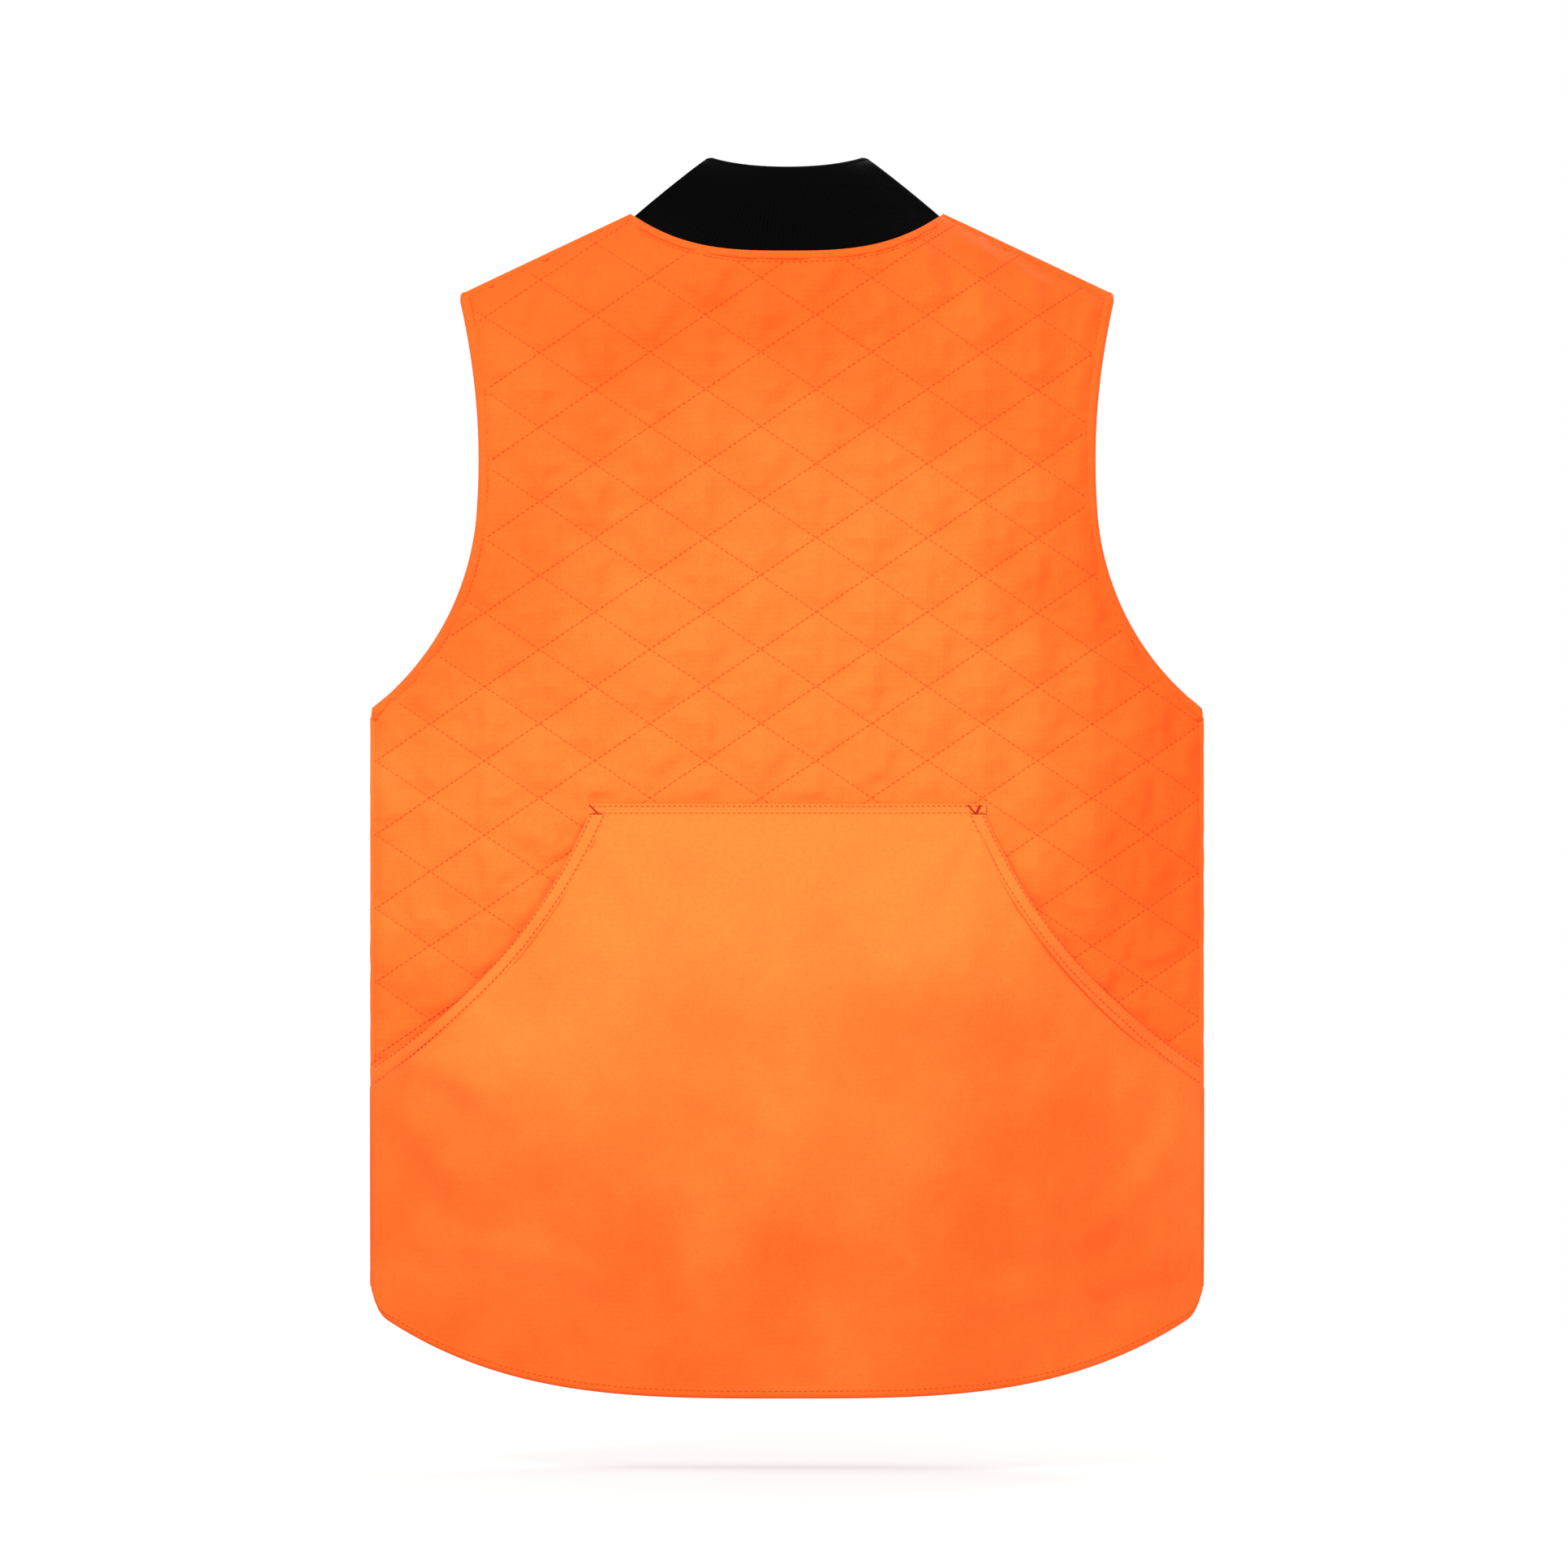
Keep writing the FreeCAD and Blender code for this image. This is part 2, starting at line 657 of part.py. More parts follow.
def rectangle(target, low, high, bound=()):
    """A closed rectangle with its four sides held square, and its sizes bound to the sheet."""
    first = target.GeometryCount
    corners = [vec(low[0], low[1]), vec(high[0], low[1]), vec(high[0], high[1]), vec(low[0], high[1])]
    for a, b in zip(corners, corners[1:] + corners[:1]):
        target.addGeometry(Part.LineSegment(a, b), False)
    for number in range(4):
        joined = first + (number + 1) % 4
        target.addConstraint(Sketcher.Constraint("Coincident", first + number, 2, joined, 1))
    for number, kind in enumerate(("Horizontal", "Vertical", "Horizontal", "Vertical")):
        target.addConstraint(Sketcher.Constraint(kind, first + number))
    values = (
        ("DistanceX", first, 1, first, 2, high[0] - low[0]),
        ("DistanceY", first + 1, 1, first + 1, 2, high[1] - low[1]),
    )
    for (kind, *ends, value), expression in zip(values, bound):
        index = target.addConstraint(Sketcher.Constraint(kind, *ends, value))
        target.setExpression(f"Constraints[{index}]", expression)
    for index, value in (("DistanceX", low[0]), ("DistanceY", low[1])):
        target.addConstraint(Sketcher.Constraint(index, -1, 1, first, 1, value))


def pad(owner, name, profile, length):
    made = owner.newObject("PartDesign::Pad", name)
    made.Profile = profile
    made.setExpression("Length", length)
    return made


def pocket(owner, name, profile, length):
    made = owner.newObject("PartDesign::Pocket", name)
    made.Profile = profile
    made.setExpression("Length", length)
    return made


def make_tapes():
    """The zip's two tapes, sewn behind the shell's front edges."""
    for name, side in SIDES:
        near = "Sizes.teeth_tip + Sizes.teeth_width - 1"
        far = f"{near} + Sizes.tape_reach"
        parts.append(
            sided_block(
                f"zip_tape_{name}", side, near, far,
                low="Sizes.tape_plane - Sizes.tape_thick / 2",
                high="Sizes.tape_plane + Sizes.tape_thick / 2",
                foot="Sizes.zip_foot", top="Sizes.zip_top",
            )
        )


def make_teeth():
    """Each row of moulded teeth, joined by the cord along the tape's edge."""
    room = size("zip_top") - size("stop_tall") - size("zip_foot") - size("box_tall") - 1
    count = int(room / size("tooth_pitch"))
    foot = size("zip_foot") + size("box_tall") + 1
    root = size("teeth_tip") + size("teeth_width")
    waist = root - 1.1
    for name, side in SIDES:
        shift = 0 if side > 0 else size("tooth_pitch") / 2
        points = [(side * root, foot + shift)]
        for number in range(count):
            low = foot + shift + number * size("tooth_pitch")
            high = low + size("tooth_height")
            tip = size("teeth_tip")
            points += [(side * tip, low), (side * tip, high), (side * waist, high)]
            points.append((side * waist, low + size("tooth_pitch")))
        points.append((side * root, points[-1][1]))
        rear = size("tape_plane") - size("teeth_thick") / 2
        comb = Part.Face(Part.makePolygon([vec(x, rear, z) for x, z in points + points[:1]]))
        teeth = comb.extrude(vec(0, size("teeth_thick"), 0))
        groove = Part.makeBox(
            1.02, size("tape_thick") + 0.1, 2000,
            vec(side * root - (1.02 if side > 0 else 0), 0, -1500),
        )
        groove.translate(vec(0, size("tape_plane") - size("tape_thick") / 2 - 0.05, 0))
        parts.append(feature(f"zip_teeth_{name}", teeth.cut(groove)))


def make_stops():
    """The stop that ends each row of teeth at the top."""
    for name, side in SIDES:
        made = body(f"zip_top_stop_{name}")
        flat = sketch(made, f"stop_{name}_outline", "XZ_Plane", 0)
        near, far = size("teeth_tip") + 0.4, size("teeth_tip") + size("teeth_width") - 1.1
        low, high = sorted((side * near, side * far))
        rectangle(
            flat, (low, size("zip_top") - size("stop_tall") + 0.5), (high, size("zip_top")),
            ("Sizes.teeth_width - 1.5", "Sizes.stop_tall - 0.5"),
        )
        flat.AttachmentOffset = FreeCAD.Placement(
            vec(0, 0, -size("tape_plane") - size("teeth_thick") / 2), FreeCAD.Rotation()
        )
        pad(made, f"stop_{name}_pad", flat, "Sizes.teeth_thick")
        parts.append(made)


def make_box():
    """The retainer box at the foot of the right tape, with a socket for the pin."""
    made = body("zip_box")
    front = -size("tape_plane") + size("slider_thick") / 2 - 1
    flat = sketch(made, "box_outline", "XZ_Plane", front - size("slider_thick") + 2)
    middle = size("slider_middle") - 1.2
    foot = size("zip_foot")
    rectangle(
        flat, (middle - size("box_half"), foot),
        (middle + size("box_half"), foot + size("box_tall")),
        ("2 * Sizes.box_half", "Sizes.box_tall"),
    )
    pad(made, "box_pad", flat, "Sizes.slider_thick - 2")
    slot = sketch(made, "box_slots", "XZ_Plane", -size("tape_plane") + size("tape_thick") / 2 + 0.1)
    rectangle(
        slot, (middle - size("box_half") - 1, foot - 1),
        (-size("teeth_tip") - size("teeth_width") + 1.4, foot + size("box_tall") + 1),
    )
    pocket(made, "box_tape_slot", slot, "Sizes.tape_thick + 0.2")
    socket = sketch(made, "box_socket", "XY_Plane", foot + size("box_tall"))
    rectangle(
        socket, (middle + 1.2, size("tape_plane") - size("pin_radius") - 0.2),
        (middle + 3.8, size("tape_plane") + size("pin_radius") + 0.2),
    )
    pocket(made, "box_pin_socket", socket, "Sizes.box_tall - 3")
    parts.append(made)


def make_pin():
    """The insertion pin at the foot of the left tape."""
    made = doc.addObject("Part::Cylinder", "zip_pin")
    made.setExpression("Radius", "Sizes.pin_radius")
    made.setExpression("Height", "Sizes.pin_tall - 5")
    made.setExpression(".Placement.Base.x", "Sizes.teeth_tip + Sizes.pin_radius")
    made.setExpression(".Placement.Base.y", "Sizes.tape_plane")
    made.setExpression(".Placement.Base.z", "Sizes.zip_foot")
    parts.append(made)


def make_slider():
    """The slider: two plates joined by a post, with lips that hold the tape, and its bail."""
    made = body("zip_slider")
    middle, half = size("slider_middle"), size("slider_half")
    foot, top = size("slider_foot"), size("slider_foot") + size("slider_tall")
    front = -size("tape_plane") + size("slider_thick") / 2
    flat = sketch(made, "slider_outline", "XZ_Plane", front - size("slider_thick"))
    rectangle(
        flat, (middle - half, foot), (middle + half, top),
        ("2 * Sizes.slider_half", "Sizes.slider_tall"),
    )
    pad(made, "slider_pad", flat, "Sizes.slider_thick")
    doc.recompute()
    inner_front = front - size("slider_wall")
    channel = sketch(made, "slider_channels", "XZ_Plane", inner_front)
    lip = 0.7
    rectangle(channel, (middle - half + lip, foot - 1), (middle - size("post_half"), top + 1))
    rectangle(channel, (middle + size("post_half"), foot - 1), (middle + half - lip, top + 1))
    pocket(made, "slider_channel_pocket", channel, "Sizes.slider_thick - 2 * Sizes.slider_wall")
    slots = sketch(made, "slider_slots", "XZ_Plane", -size("tape_plane") + 0.8)
    rectangle(slots, (middle - half - 1, foot - 1), (middle - half + lip + 0.1, top + 1))
    rectangle(slots, (middle + half - lip - 0.1, foot - 1), (middle + half + 1, top + 1))
    pocket(made, "slider_slot_pocket", slots, "1.6")
    bail = sketch(made, "bail_outline", "XZ_Plane", front)
    bail_foot = foot + (size("slider_tall") - size("bail_tall")) / 2
    rectangle(
        bail, (middle - size("bail_half"), bail_foot),
        (middle + size("bail_half"), bail_foot + size("bail_tall")),
        ("2 * Sizes.bail_half", "Sizes.bail_tall"),
    )
    pad(made, "bail_pad", bail, "Sizes.bail_out")
    window = sketch(made, "bail_window", "YZ_Plane", middle - size("bail_half") - 1)
    rectangle(window, (-front - 2.4, bail_foot + 1.4), (-front, bail_foot + size("bail_tall") - 1.4))
    opening = pocket(made, "bail_window_pocket", window, "2 * Sizes.bail_half + 2")
    opening.Reversed = True
    parts.append(made)


def make_pull():
    """The pull: a plate whose upper end is a window closed by the bar under the bail."""
    made = body("zip_pull")
    middle = size("slider_middle")
    plane_at = -size("tape_plane") + size("slider_thick") / 2 + 1.2
    bar = size("slider_foot") + size("slider_tall") / 2
    flat = sketch(made, "pull_outline", "XZ_Plane", plane_at - size("pull_thick") / 2)
    upper = bar + size("pull_bar")
    rectangle(
        flat, (middle - size("pull_half"), upper - size("pull_long")),
        (middle + size("pull_half"), upper), ("2 * Sizes.pull_half", "Sizes.pull_long"),
    )
    pad(made, "pull_pad", flat, "Sizes.pull_thick")
    window = sketch(made, "pull_window", "XZ_Plane", plane_at + size("pull_thick"))
    rectangle(
        window, (middle - size("pull_arm"), bar - size("pull_bar") - size("pull_window")),
        (middle + size("pull_arm"), bar - size("pull_bar")),
        ("2 * Sizes.pull_arm", "Sizes.pull_window"),
    )
    pocket(made, "pull_window_pocket", window, "3 * Sizes.pull_thick")
    parts.append(made)


# ---------------------------------------------------------------- inside the neck


def make_hanger_loop():
    """The loop inside the back neck, an arc of round cord that hangs from its two ends."""
    made = doc.addObject("Part::Torus", "hanger_loop")
    made.setExpression("Radius1", "Sizes.loop_radius")
    made.setExpression("Radius2", "Sizes.loop_cord")
    made.setExpression("Angle3", "Sizes.loop_turn")
    half = math.radians(size("loop_turn") / 2)
    centre = vec(0, size("loop_plane"), size("loop_height") + size("loop_radius") * math.cos(half))
    upright = FreeCAD.Rotation(vec(1, 0, 0), 90)
    start = FreeCAD.Rotation(vec(0, 0, 1), -90 - size("loop_turn") / 2)
    made.Placement = FreeCAD.Placement(centre, upright.multiply(start))
    parts.append(made)


def make_label():
    """The blank label sewn inside the back neck."""
    parts.append(
        block(
            "neck_label", "Sizes.label_wide", "Sizes.label_thick", "Sizes.label_tall",
            "-Sizes.label_wide / 2", "Sizes.label_plane", "Sizes.label_top - Sizes.label_tall",
        )
    )


# ---------------------------------------------------------------- build, check and write

parts = []
make_back()
make_armhole_bindings()
make_seams()
make_pouch()
make_bar_tacks()
make_fronts()
make_hems()
make_front_pockets()
make_collar()
make_tapes()
make_teeth()
make_stops()
make_box()
make_pin()
make_slider()
make_pull()
make_hanger_loop()
make_label()
for part in parts:
    part.Label = part.Name
doc.recompute()

for item in doc.Objects:
    if "Invalid" in item.State or "Error" in item.State:
        raise RuntimeError(f"{item.Name} failed: {item.State}")
os.makedirs("parts", exist_ok=True)
for part in parts:
    shape = part.Shape
    if shape.isNull() or not shape.isValid() or not shape.Solids:
        raise RuntimeError(f"{part.Label} has no valid solid")
    shape.exportStep(f"parts/{part.Label}.step")
    print(part.Label, len(shape.Solids), round(shape.Volume / 1000, 2), "cm3")
print(len(parts), "nodes")
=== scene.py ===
"""Looks of the quilted blaze orange vest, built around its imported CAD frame.

Lengths are in metres and the frame is the CAD's: +Z up, the front faces -Y, +X is the
wearer's left. Cloth is made on grids that follow the same lens-shaped form as the CAD solids.
"""

import math

import bmesh
import bpy
import numpy as np
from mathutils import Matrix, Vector, noise
from mathutils.bvhtree import BVHTree


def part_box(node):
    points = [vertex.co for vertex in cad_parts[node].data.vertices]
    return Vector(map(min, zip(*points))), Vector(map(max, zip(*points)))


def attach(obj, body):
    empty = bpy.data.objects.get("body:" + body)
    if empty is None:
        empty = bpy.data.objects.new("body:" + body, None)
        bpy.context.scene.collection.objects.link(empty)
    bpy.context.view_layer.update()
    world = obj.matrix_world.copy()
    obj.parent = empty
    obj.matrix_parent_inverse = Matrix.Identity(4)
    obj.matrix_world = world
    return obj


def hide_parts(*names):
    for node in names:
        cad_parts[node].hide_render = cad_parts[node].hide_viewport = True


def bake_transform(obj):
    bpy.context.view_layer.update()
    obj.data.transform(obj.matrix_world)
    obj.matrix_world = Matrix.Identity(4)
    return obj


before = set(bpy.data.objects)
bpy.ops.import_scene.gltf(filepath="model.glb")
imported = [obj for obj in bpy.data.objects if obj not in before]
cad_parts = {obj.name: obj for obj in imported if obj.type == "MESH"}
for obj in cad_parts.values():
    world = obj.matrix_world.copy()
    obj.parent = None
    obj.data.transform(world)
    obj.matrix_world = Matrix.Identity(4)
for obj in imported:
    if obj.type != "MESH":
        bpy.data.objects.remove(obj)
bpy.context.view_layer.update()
scene = bpy.context.scene

# ---------------------------------------------------------------- the form, as in the CAD

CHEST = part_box("side_seam_left")[1].x
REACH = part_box("hem_back")[1].x
RIM = CHEST - 0.0006
FORM = -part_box("front_edge_left_shell")[0].y
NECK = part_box("shoulder_seam_left")[0].x - 0.001
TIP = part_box("shoulder_seam_left")[1].x
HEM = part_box("hem_back")[0].z
POUCH_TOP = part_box("pouch_top_band")[1].z
POUCH_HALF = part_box("pouch_top_band")[1].x
BAND = POUCH_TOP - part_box("pouch_top_band")[0].z
NECK_RISE = 0.027
TIP_HEIGHT = -0.0265
FRONT_NECK = -0.075
SLOPE = (NECK_RISE - TIP_HEIGHT) / (TIP - NECK)
PEAK = NECK_RISE + SLOPE * math.hypot(NECK, 0.02)
SHOULDER = 0.07
CLOTH = 0.0067  # shell, batting and lining together
POUCH_CLOTH = 0.0011
HEM_WIDE = 0.008
SIDES = (("left", 1), ("right", -1))


def ridge(x):
    return PEAK - SLOPE * np.hypot(x, 0.02)


def across(x):
    return 1 - np.minimum(1.0, np.abs(x / CHEST)) ** 2.4


def hemline(x):
    """The shirt-tail hem, with its rounded corners at the side seams."""
    corner = np.clip((np.abs(x) - 0.262) / 0.0125, 0, 1)
    return HEM + 0.044 * np.abs(x / 0.256) ** 3.34 + 0.014 * corner ** 3


def sway(x, z):
    """Broad, shallow waves of the hanging cloth, none at its edges."""
    waves = np.sin(21 * x + 9 * z + 1) * np.sin(15 * z - 6 * x + 2.1)
    waves = waves + 0.6 * np.sin(47 * x - 25 * z + 0.7) * np.sin(33 * z + 17 * x)
    fade = np.clip((CHEST - np.abs(x)) / 0.05, 0, 1) * np.clip((np.abs(x) - 0.025) / 0.05, 0, 1)
    return 0.0024 * waves * fade * np.clip((-0.09 - z) / 0.07, 0, 1) * np.clip((z - hemline(x)) / 0.05, 0, 1)


def depth(x, z):
    """Distance of the cloth's outer surface from the plane y = 0."""
    drop = np.clip((ridge(x) - z) / SHOULDER, 0, 1)
    return FORM * across(x) * (1 - (1 - drop) ** 2.4) + sway(x, z)


def back_neckline(x):
    return NECK_RISE * np.abs(x / NECK) ** 3


def front_neckline(x):
    return FRONT_NECK + (NECK_RISE - FRONT_NECK) * np.abs(x / NECK) ** 2.2


def arc_points(start, middle, end, count):
    """Points along the arc through three places."""
    (ax, ay), (bx, by), (cx, cy) = start, middle, end
    d = 2 * (ax * (by - cy) + bx * (cy - ay) + cx * (ay - by))
    a2, b2, c2 = ax * ax + ay * ay, bx * bx + by * by, cx * cx + cy * cy
    ux = (a2 * (by - cy) + b2 * (cy - ay) + c2 * (ay - by)) / d
    uy = (a2 * (cx - bx) + b2 * (ax - cx) + c2 * (bx - ax)) / d
    radius = math.hypot(ax - ux, ay - uy)
    first, mid, last = [math.atan2(p[1] - uy, p[0] - ux) for p in (start, middle, end)]
    turn = (last - first) % (2 * math.pi)
    if (mid - first) % (2 * math.pi) > turn:
        turn -= 2 * math.pi
    angles = first + turn * np.linspace(0, 1, count)
    return np.stack([ux + radius * np.cos(angles), uy + radius * np.sin(angles)], 1)


def seam_level(x, deep=0.005):
    share = np.clip(1 - deep / (FORM * across(x)), 0, 1)
    return ridge(x) - SHOULDER * (1 - share ** (1 / 2.4))


def armhole(grow):
    """The left armhole's edge from the shoulder to the armpit, grow further into the cloth."""
    tip = (TIP - grow, float(seam_level(TIP - grow)))
    upper = arc_points(tip, (0.204 - grow, -0.095), (0.203 - grow, -0.165), 40)
    knee = (0.222 - 0.78 * grow, -0.238 - 0.62 * grow)
    lower = arc_points((0.203 - grow, -0.165), knee, (REACH, -0.2915 - 1.4 * grow), 40)
    pit = np.stack([np.linspace(REACH, RIM, 6)[1:], np.linspace(-0.2915, -0.2995, 6)[1:] - 1.4 * grow], 1)
    return np.concatenate([upper, lower[1:], pit])


def side_at(z, grow):
    """Half the width of the back or front at a height."""
    edge = armhole(grow)
    order = np.argsort(edge[:, 1])
    wide = np.interp(z, edge[order, 1], edge[order, 0])
    return np.where(z < edge[-1, 1], RIM, wide)


# ---------------------------------------------------------------- meshes, in short


def mesh_object(name, points, faces, smooth=True):
    data = bpy.data.meshes.new(name)
    data.from_pydata([tuple(p) for p in points], [], faces)
    data.update()
    if smooth:
        data.polygons.foreach_set("use_smooth", [True] * len(data.polygons))
    made = bpy.data.objects.new(name, data)
    scene.collection.objects.link(made)
    return made


def grid_faces(rows, columns, wrap=False, flip=False, start=0):
    """Quads over a grid of rows by columns; wrap closes each row on itself."""
    faces = []
    for row in range(rows - 1):
        for column in range(columns if wrap else columns - 1):
            ahead = (column + 1) % columns
            a, b = start + row * columns + column, start + row * columns + ahead
            c, d = start + (row + 1) * columns + ahead, start + (row + 1) * columns + column
            faces.append((a, d, c, b) if flip else (a, b, c, d))
    return faces


def grid_object(name, grid, wrap=False, flip=False):
    rows, columns = grid.shape[:2]
    return mesh_object(name, grid.reshape(-1, 3), grid_faces(rows, columns, wrap, flip))


def modified(made):
    """The object's mesh with its modifiers applied."""
    graph = bpy.context.evaluated_depsgraph_get()
    data = bpy.data.meshes.new_from_object(made.evaluated_get(graph))
    made.modifiers.clear()
    made.data = data
    return made


def subdivided(made):
    step = made.modifiers.new("subdivide", "SUBSURF")
    step.levels = step.render_levels = 1
    return modified(made)


def thickened(made, thickness, offset=0):
    """A single sheet given its cloth's thickness and closed."""
    step = made.modifiers.new("thick", "SOLIDIFY")
    step.thickness = thickness
    step.offset = offset
    outward_fix(modified(made))
    return made


def ripple(x, z, scale, seed):
    """Smooth noise over a panel, from about -1 to 1."""
    return noise.fractal(Vector((x / scale, z / scale, seed)), 0.6, 2.1, 3)


def ripples(x, z, scale, seed):
    flat = [ripple(a, b, scale, seed) for a, b in zip(np.ravel(x), np.ravel(z))]
    return np.array(flat).reshape(np.shape(x))


BULGE = 0.016
LIP = 0.010


def pouch_stand(x, z):
    low, high = hemline(x) + HEM_WIDE, POUCH_TOP - BAND
    share = np.clip((high - z) / (high - low), 0, 1)
    return BULGE * np.sin(math.pi * share) * across(x) ** 0.6


pocket_low, pocket_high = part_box("front_pocket_left")
welt_low, welt_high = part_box("pocket_mouth_left")
P_IN, P_OUT = pocket_low.x, pocket_high.x
P_TOP, P_FOOT = welt_high.z, pocket_low.z
MOUTH_TOP = welt_low.x + 0.012
SLANT = (welt_high.z - welt_low.z) / (P_OUT - MOUTH_TOP)


def pocket_stand(x, z):
    aside = np.clip((np.abs(x) - P_IN) / (P_OUT - P_IN), 0, 1)
    down = np.clip((P_TOP - z) / (P_TOP - P_FOOT), 0, 1)
    return 0.010 * np.sin(math.pi * aside) * np.sin(math.pi * down)


# ---------------------------------------------------------------- quilting

QUILT_WIDE, QUILT_TALL = 0.0725, 0.0486
CELLS = 14
PUFF = 0.0042
QUILTS = {"back": (0.0172, -0.0664), "front": (0.018, -0.0664)}


def quilt_height(x, z, origin):
    """How far the padding stands out between the quilting lines, from 0 to 1."""
    a = (x - origin[0]) / QUILT_WIDE
    b = (z - origin[1]) / QUILT_TALL
    return (np.abs(np.sin(math.pi * (a + b))) * np.abs(np.sin(math.pi * (a - b)))) ** 0.55


def room_under_pouch(x, z, side):
    """How far the quilting may stand out before it would meet a pouch or pocket."""
    if side < 0:
        aside, down = np.abs(x), z
        covered = (aside > P_IN - 0.004) & (aside < P_OUT + 0.004) & (down > P_FOOT - 0.004)
        covered = covered & (down < P_TOP + 0.003) & (down < P_TOP - (aside - MOUTH_TOP) * SLANT + 0.004)
        return np.where(covered, np.maximum(0.0, pocket_stand(x, z) * 0.5 - 0.0006), 0.02)
    covered = (z < POUCH_TOP + 0.004) & (np.abs(x) < POUCH_HALF) | (z < -0.50)
    covered = covered | (z < POUCH_TOP) & (z < POUCH_TOP - (np.abs(x) - POUCH_HALF) * 1.25 - 0.03)
    return np.where(covered, np.maximum(0.0, pouch_stand(x, z) * 0.5 - 0.0008), 0.02)


def panel_top(x, neckline, inset=0.001):
    """Height of a panel's upper edge, at the neck seam or the shoulder."""
    neck = np.where(np.abs(x) < NECK, neckline(np.clip(x, -NECK, NECK)) - inset, 1.0)
    return np.minimum(neck, seam_level(np.clip(x, -TIP, TIP), 0.0022))


def quilted_panel(name, side, neckline, near, origin, mirror):
    """A quilted shell on a grid whose diagonals are the quilting lines."""
    dx, dz = QUILT_WIDE / CELLS, QUILT_TALL / CELLS
    columns = np.arange(int((-CHEST - origin[0]) / dx) - 1, int((CHEST - origin[0]) / dx) + 2)
    rows = np.arange(int((HEM - origin[1]) / dz) - 1, int((0.09 - origin[1]) / dz) + 2)
    i, j = np.meshgrid(columns, rows, indexing="ij")
    x, z = origin[0] + i * dx, origin[1] + j * dz
    bound, top, foot = side_at(z, 0.003), panel_top(x, neckline), hemline(x) + 0.003
    inside = (np.abs(x) < bound + 0.6 * dx) & (z < top + 0.6 * dz) & (z > foot - 0.6 * dz)
    if near is not None:
        inside &= x > near - 0.6 * dx
    z = np.clip(z, foot, np.maximum(top, foot))
    x = np.clip(x, -bound if near is None else near, bound)
    top, foot = panel_top(x, neckline), hemline(x) + 0.003
    line = ((i + j) % CELLS == 0) | ((i - j) % CELLS == 0)
    own = np.floor((i + j) / CELLS) * 7.3 + np.floor((i - j) / CELLS) * 3.1 + side
    fullness = 0.85 + 0.22 * np.sin(own * 2.7) + 0.25 * ripples(x, z, 0.16, side * 2.2)
    fullness = fullness * (0.85 + 0.45 * np.abs(x / CHEST) * np.clip(-z / 0.3, 0, 1))
    ease = np.clip((bound - np.abs(x)) / 0.012, 0, 1) * np.clip((top - z) / 0.012, 0, 1)
    ease = ease * np.clip((z - foot - 0.003) / 0.012, 0, 1)
    if near is not None:
        ease = ease * np.clip((x - near) / 0.012, 0.0, 1)
    lift = PUFF * quilt_height(x, z, origin) * fullness * ease - 0.0006
    lift = np.minimum(lift, room_under_pouch(x, z, side))
    y = depth(x, z) + lift
    index = -np.ones(x.shape, int)
    index[inside] = np.arange(inside.sum())
    flip = -1 if mirror else 1
    points = np.stack([flip * x, side * y, z], -1)[inside]
    corner = index[:-1, :-1], index[1:, :-1], index[1:, 1:], index[:-1, 1:]
    whole = np.all([c >= 0 for c in corner], 0)
    quads = np.stack([c[whole] for c in corner], 1)
    if side * flip > 0:
        quads = quads[:, ::-1]
    made = mesh_object(name, points, [tuple(int(v) for v in quad) for quad in quads])
    return made, points.copy(), line[inside] | (ease[inside] < 0.25)


def puffed(made, rest, pinned, side):
    """Cloth pinned along its quilting lines, let out a little so that it swells and wrinkles."""
    group = made.vertex_groups.new(name="quilting")
    group.add([int(v) for v in np.nonzero(pinned)[0]], 1.0, "REPLACE")
    cloth = made.modifiers.new("cloth", "CLOTH")
    settings = cloth.settings
    settings.vertex_group_mass = "quilting"
    settings.quality = 6
    settings.mass = 0.15
    settings.tension_stiffness = 25
    settings.compression_stiffness = 25
    settings.shear_stiffness = 8
    settings.bending_stiffness = 0.08
    settings.shrink_min = -0.045
    settings.effector_weights.gravity = 0
    cloth.collision_settings.use_collision = False
    cloth.point_cache.frame_start = 1
    cloth.point_cache.frame_end = 16
    for number in range(1, 17):
        scene.frame_set(number)
    modified(made)
    scene.frame_set(1)
    moved = np.array([v.co for v in made.data.vertices])
    change = moved - rest
    far = np.linalg.norm(change, axis=1, keepdims=True)
    change *= np.minimum(1, 0.0045 / np.maximum(far, 1e-9))
    moved = rest + change
    x, z = moved[:, 0], moved[:, 2]
    low = depth(np.abs(x) if side < 0 else x, z) - 0.0006
    high = low + 0.0006 + room_under_pouch(x, z, side)
    moved[:, 1] = side * np.clip(side * moved[:, 1], low, np.maximum(high, low))
    made.data.vertices.foreach_set("co", moved.astype(np.float32).ravel())
    made.data.update()


def quilted(name, side, neckline, near, origin, mirror=False):
    made, rest, pinned = quilted_panel(name, side, neckline, near, origin, mirror)
    puffed(made, rest, pinned, side)
    subdivided(made)
    made.data.polygons.foreach_set("use_smooth", [True] * len(made.data.polygons))
    return made


# ---------------------------------------------------------------- stitches


def stitch_run(path, outward, long=0.0030, gap=0.0009):
    """Stitches along a path, as (start, end, outward) triples."""
    path, outward = np.asarray(path, float), np.asarray(outward, float)
    length = np.concatenate([[0], np.cumsum(np.linalg.norm(np.diff(path, axis=0), axis=1))])
    count = int(length[-1] / (long + gap))
    if count < 1:
        return []
    starts = np.arange(count) * (length[-1] / count)

    def at(along, values):
        return np.stack([np.interp(along, length, values[:, k]) for k in range(3)], 1)

    return list(zip(at(starts, path), at(starts + long, path), at(starts + long / 2, outward)))


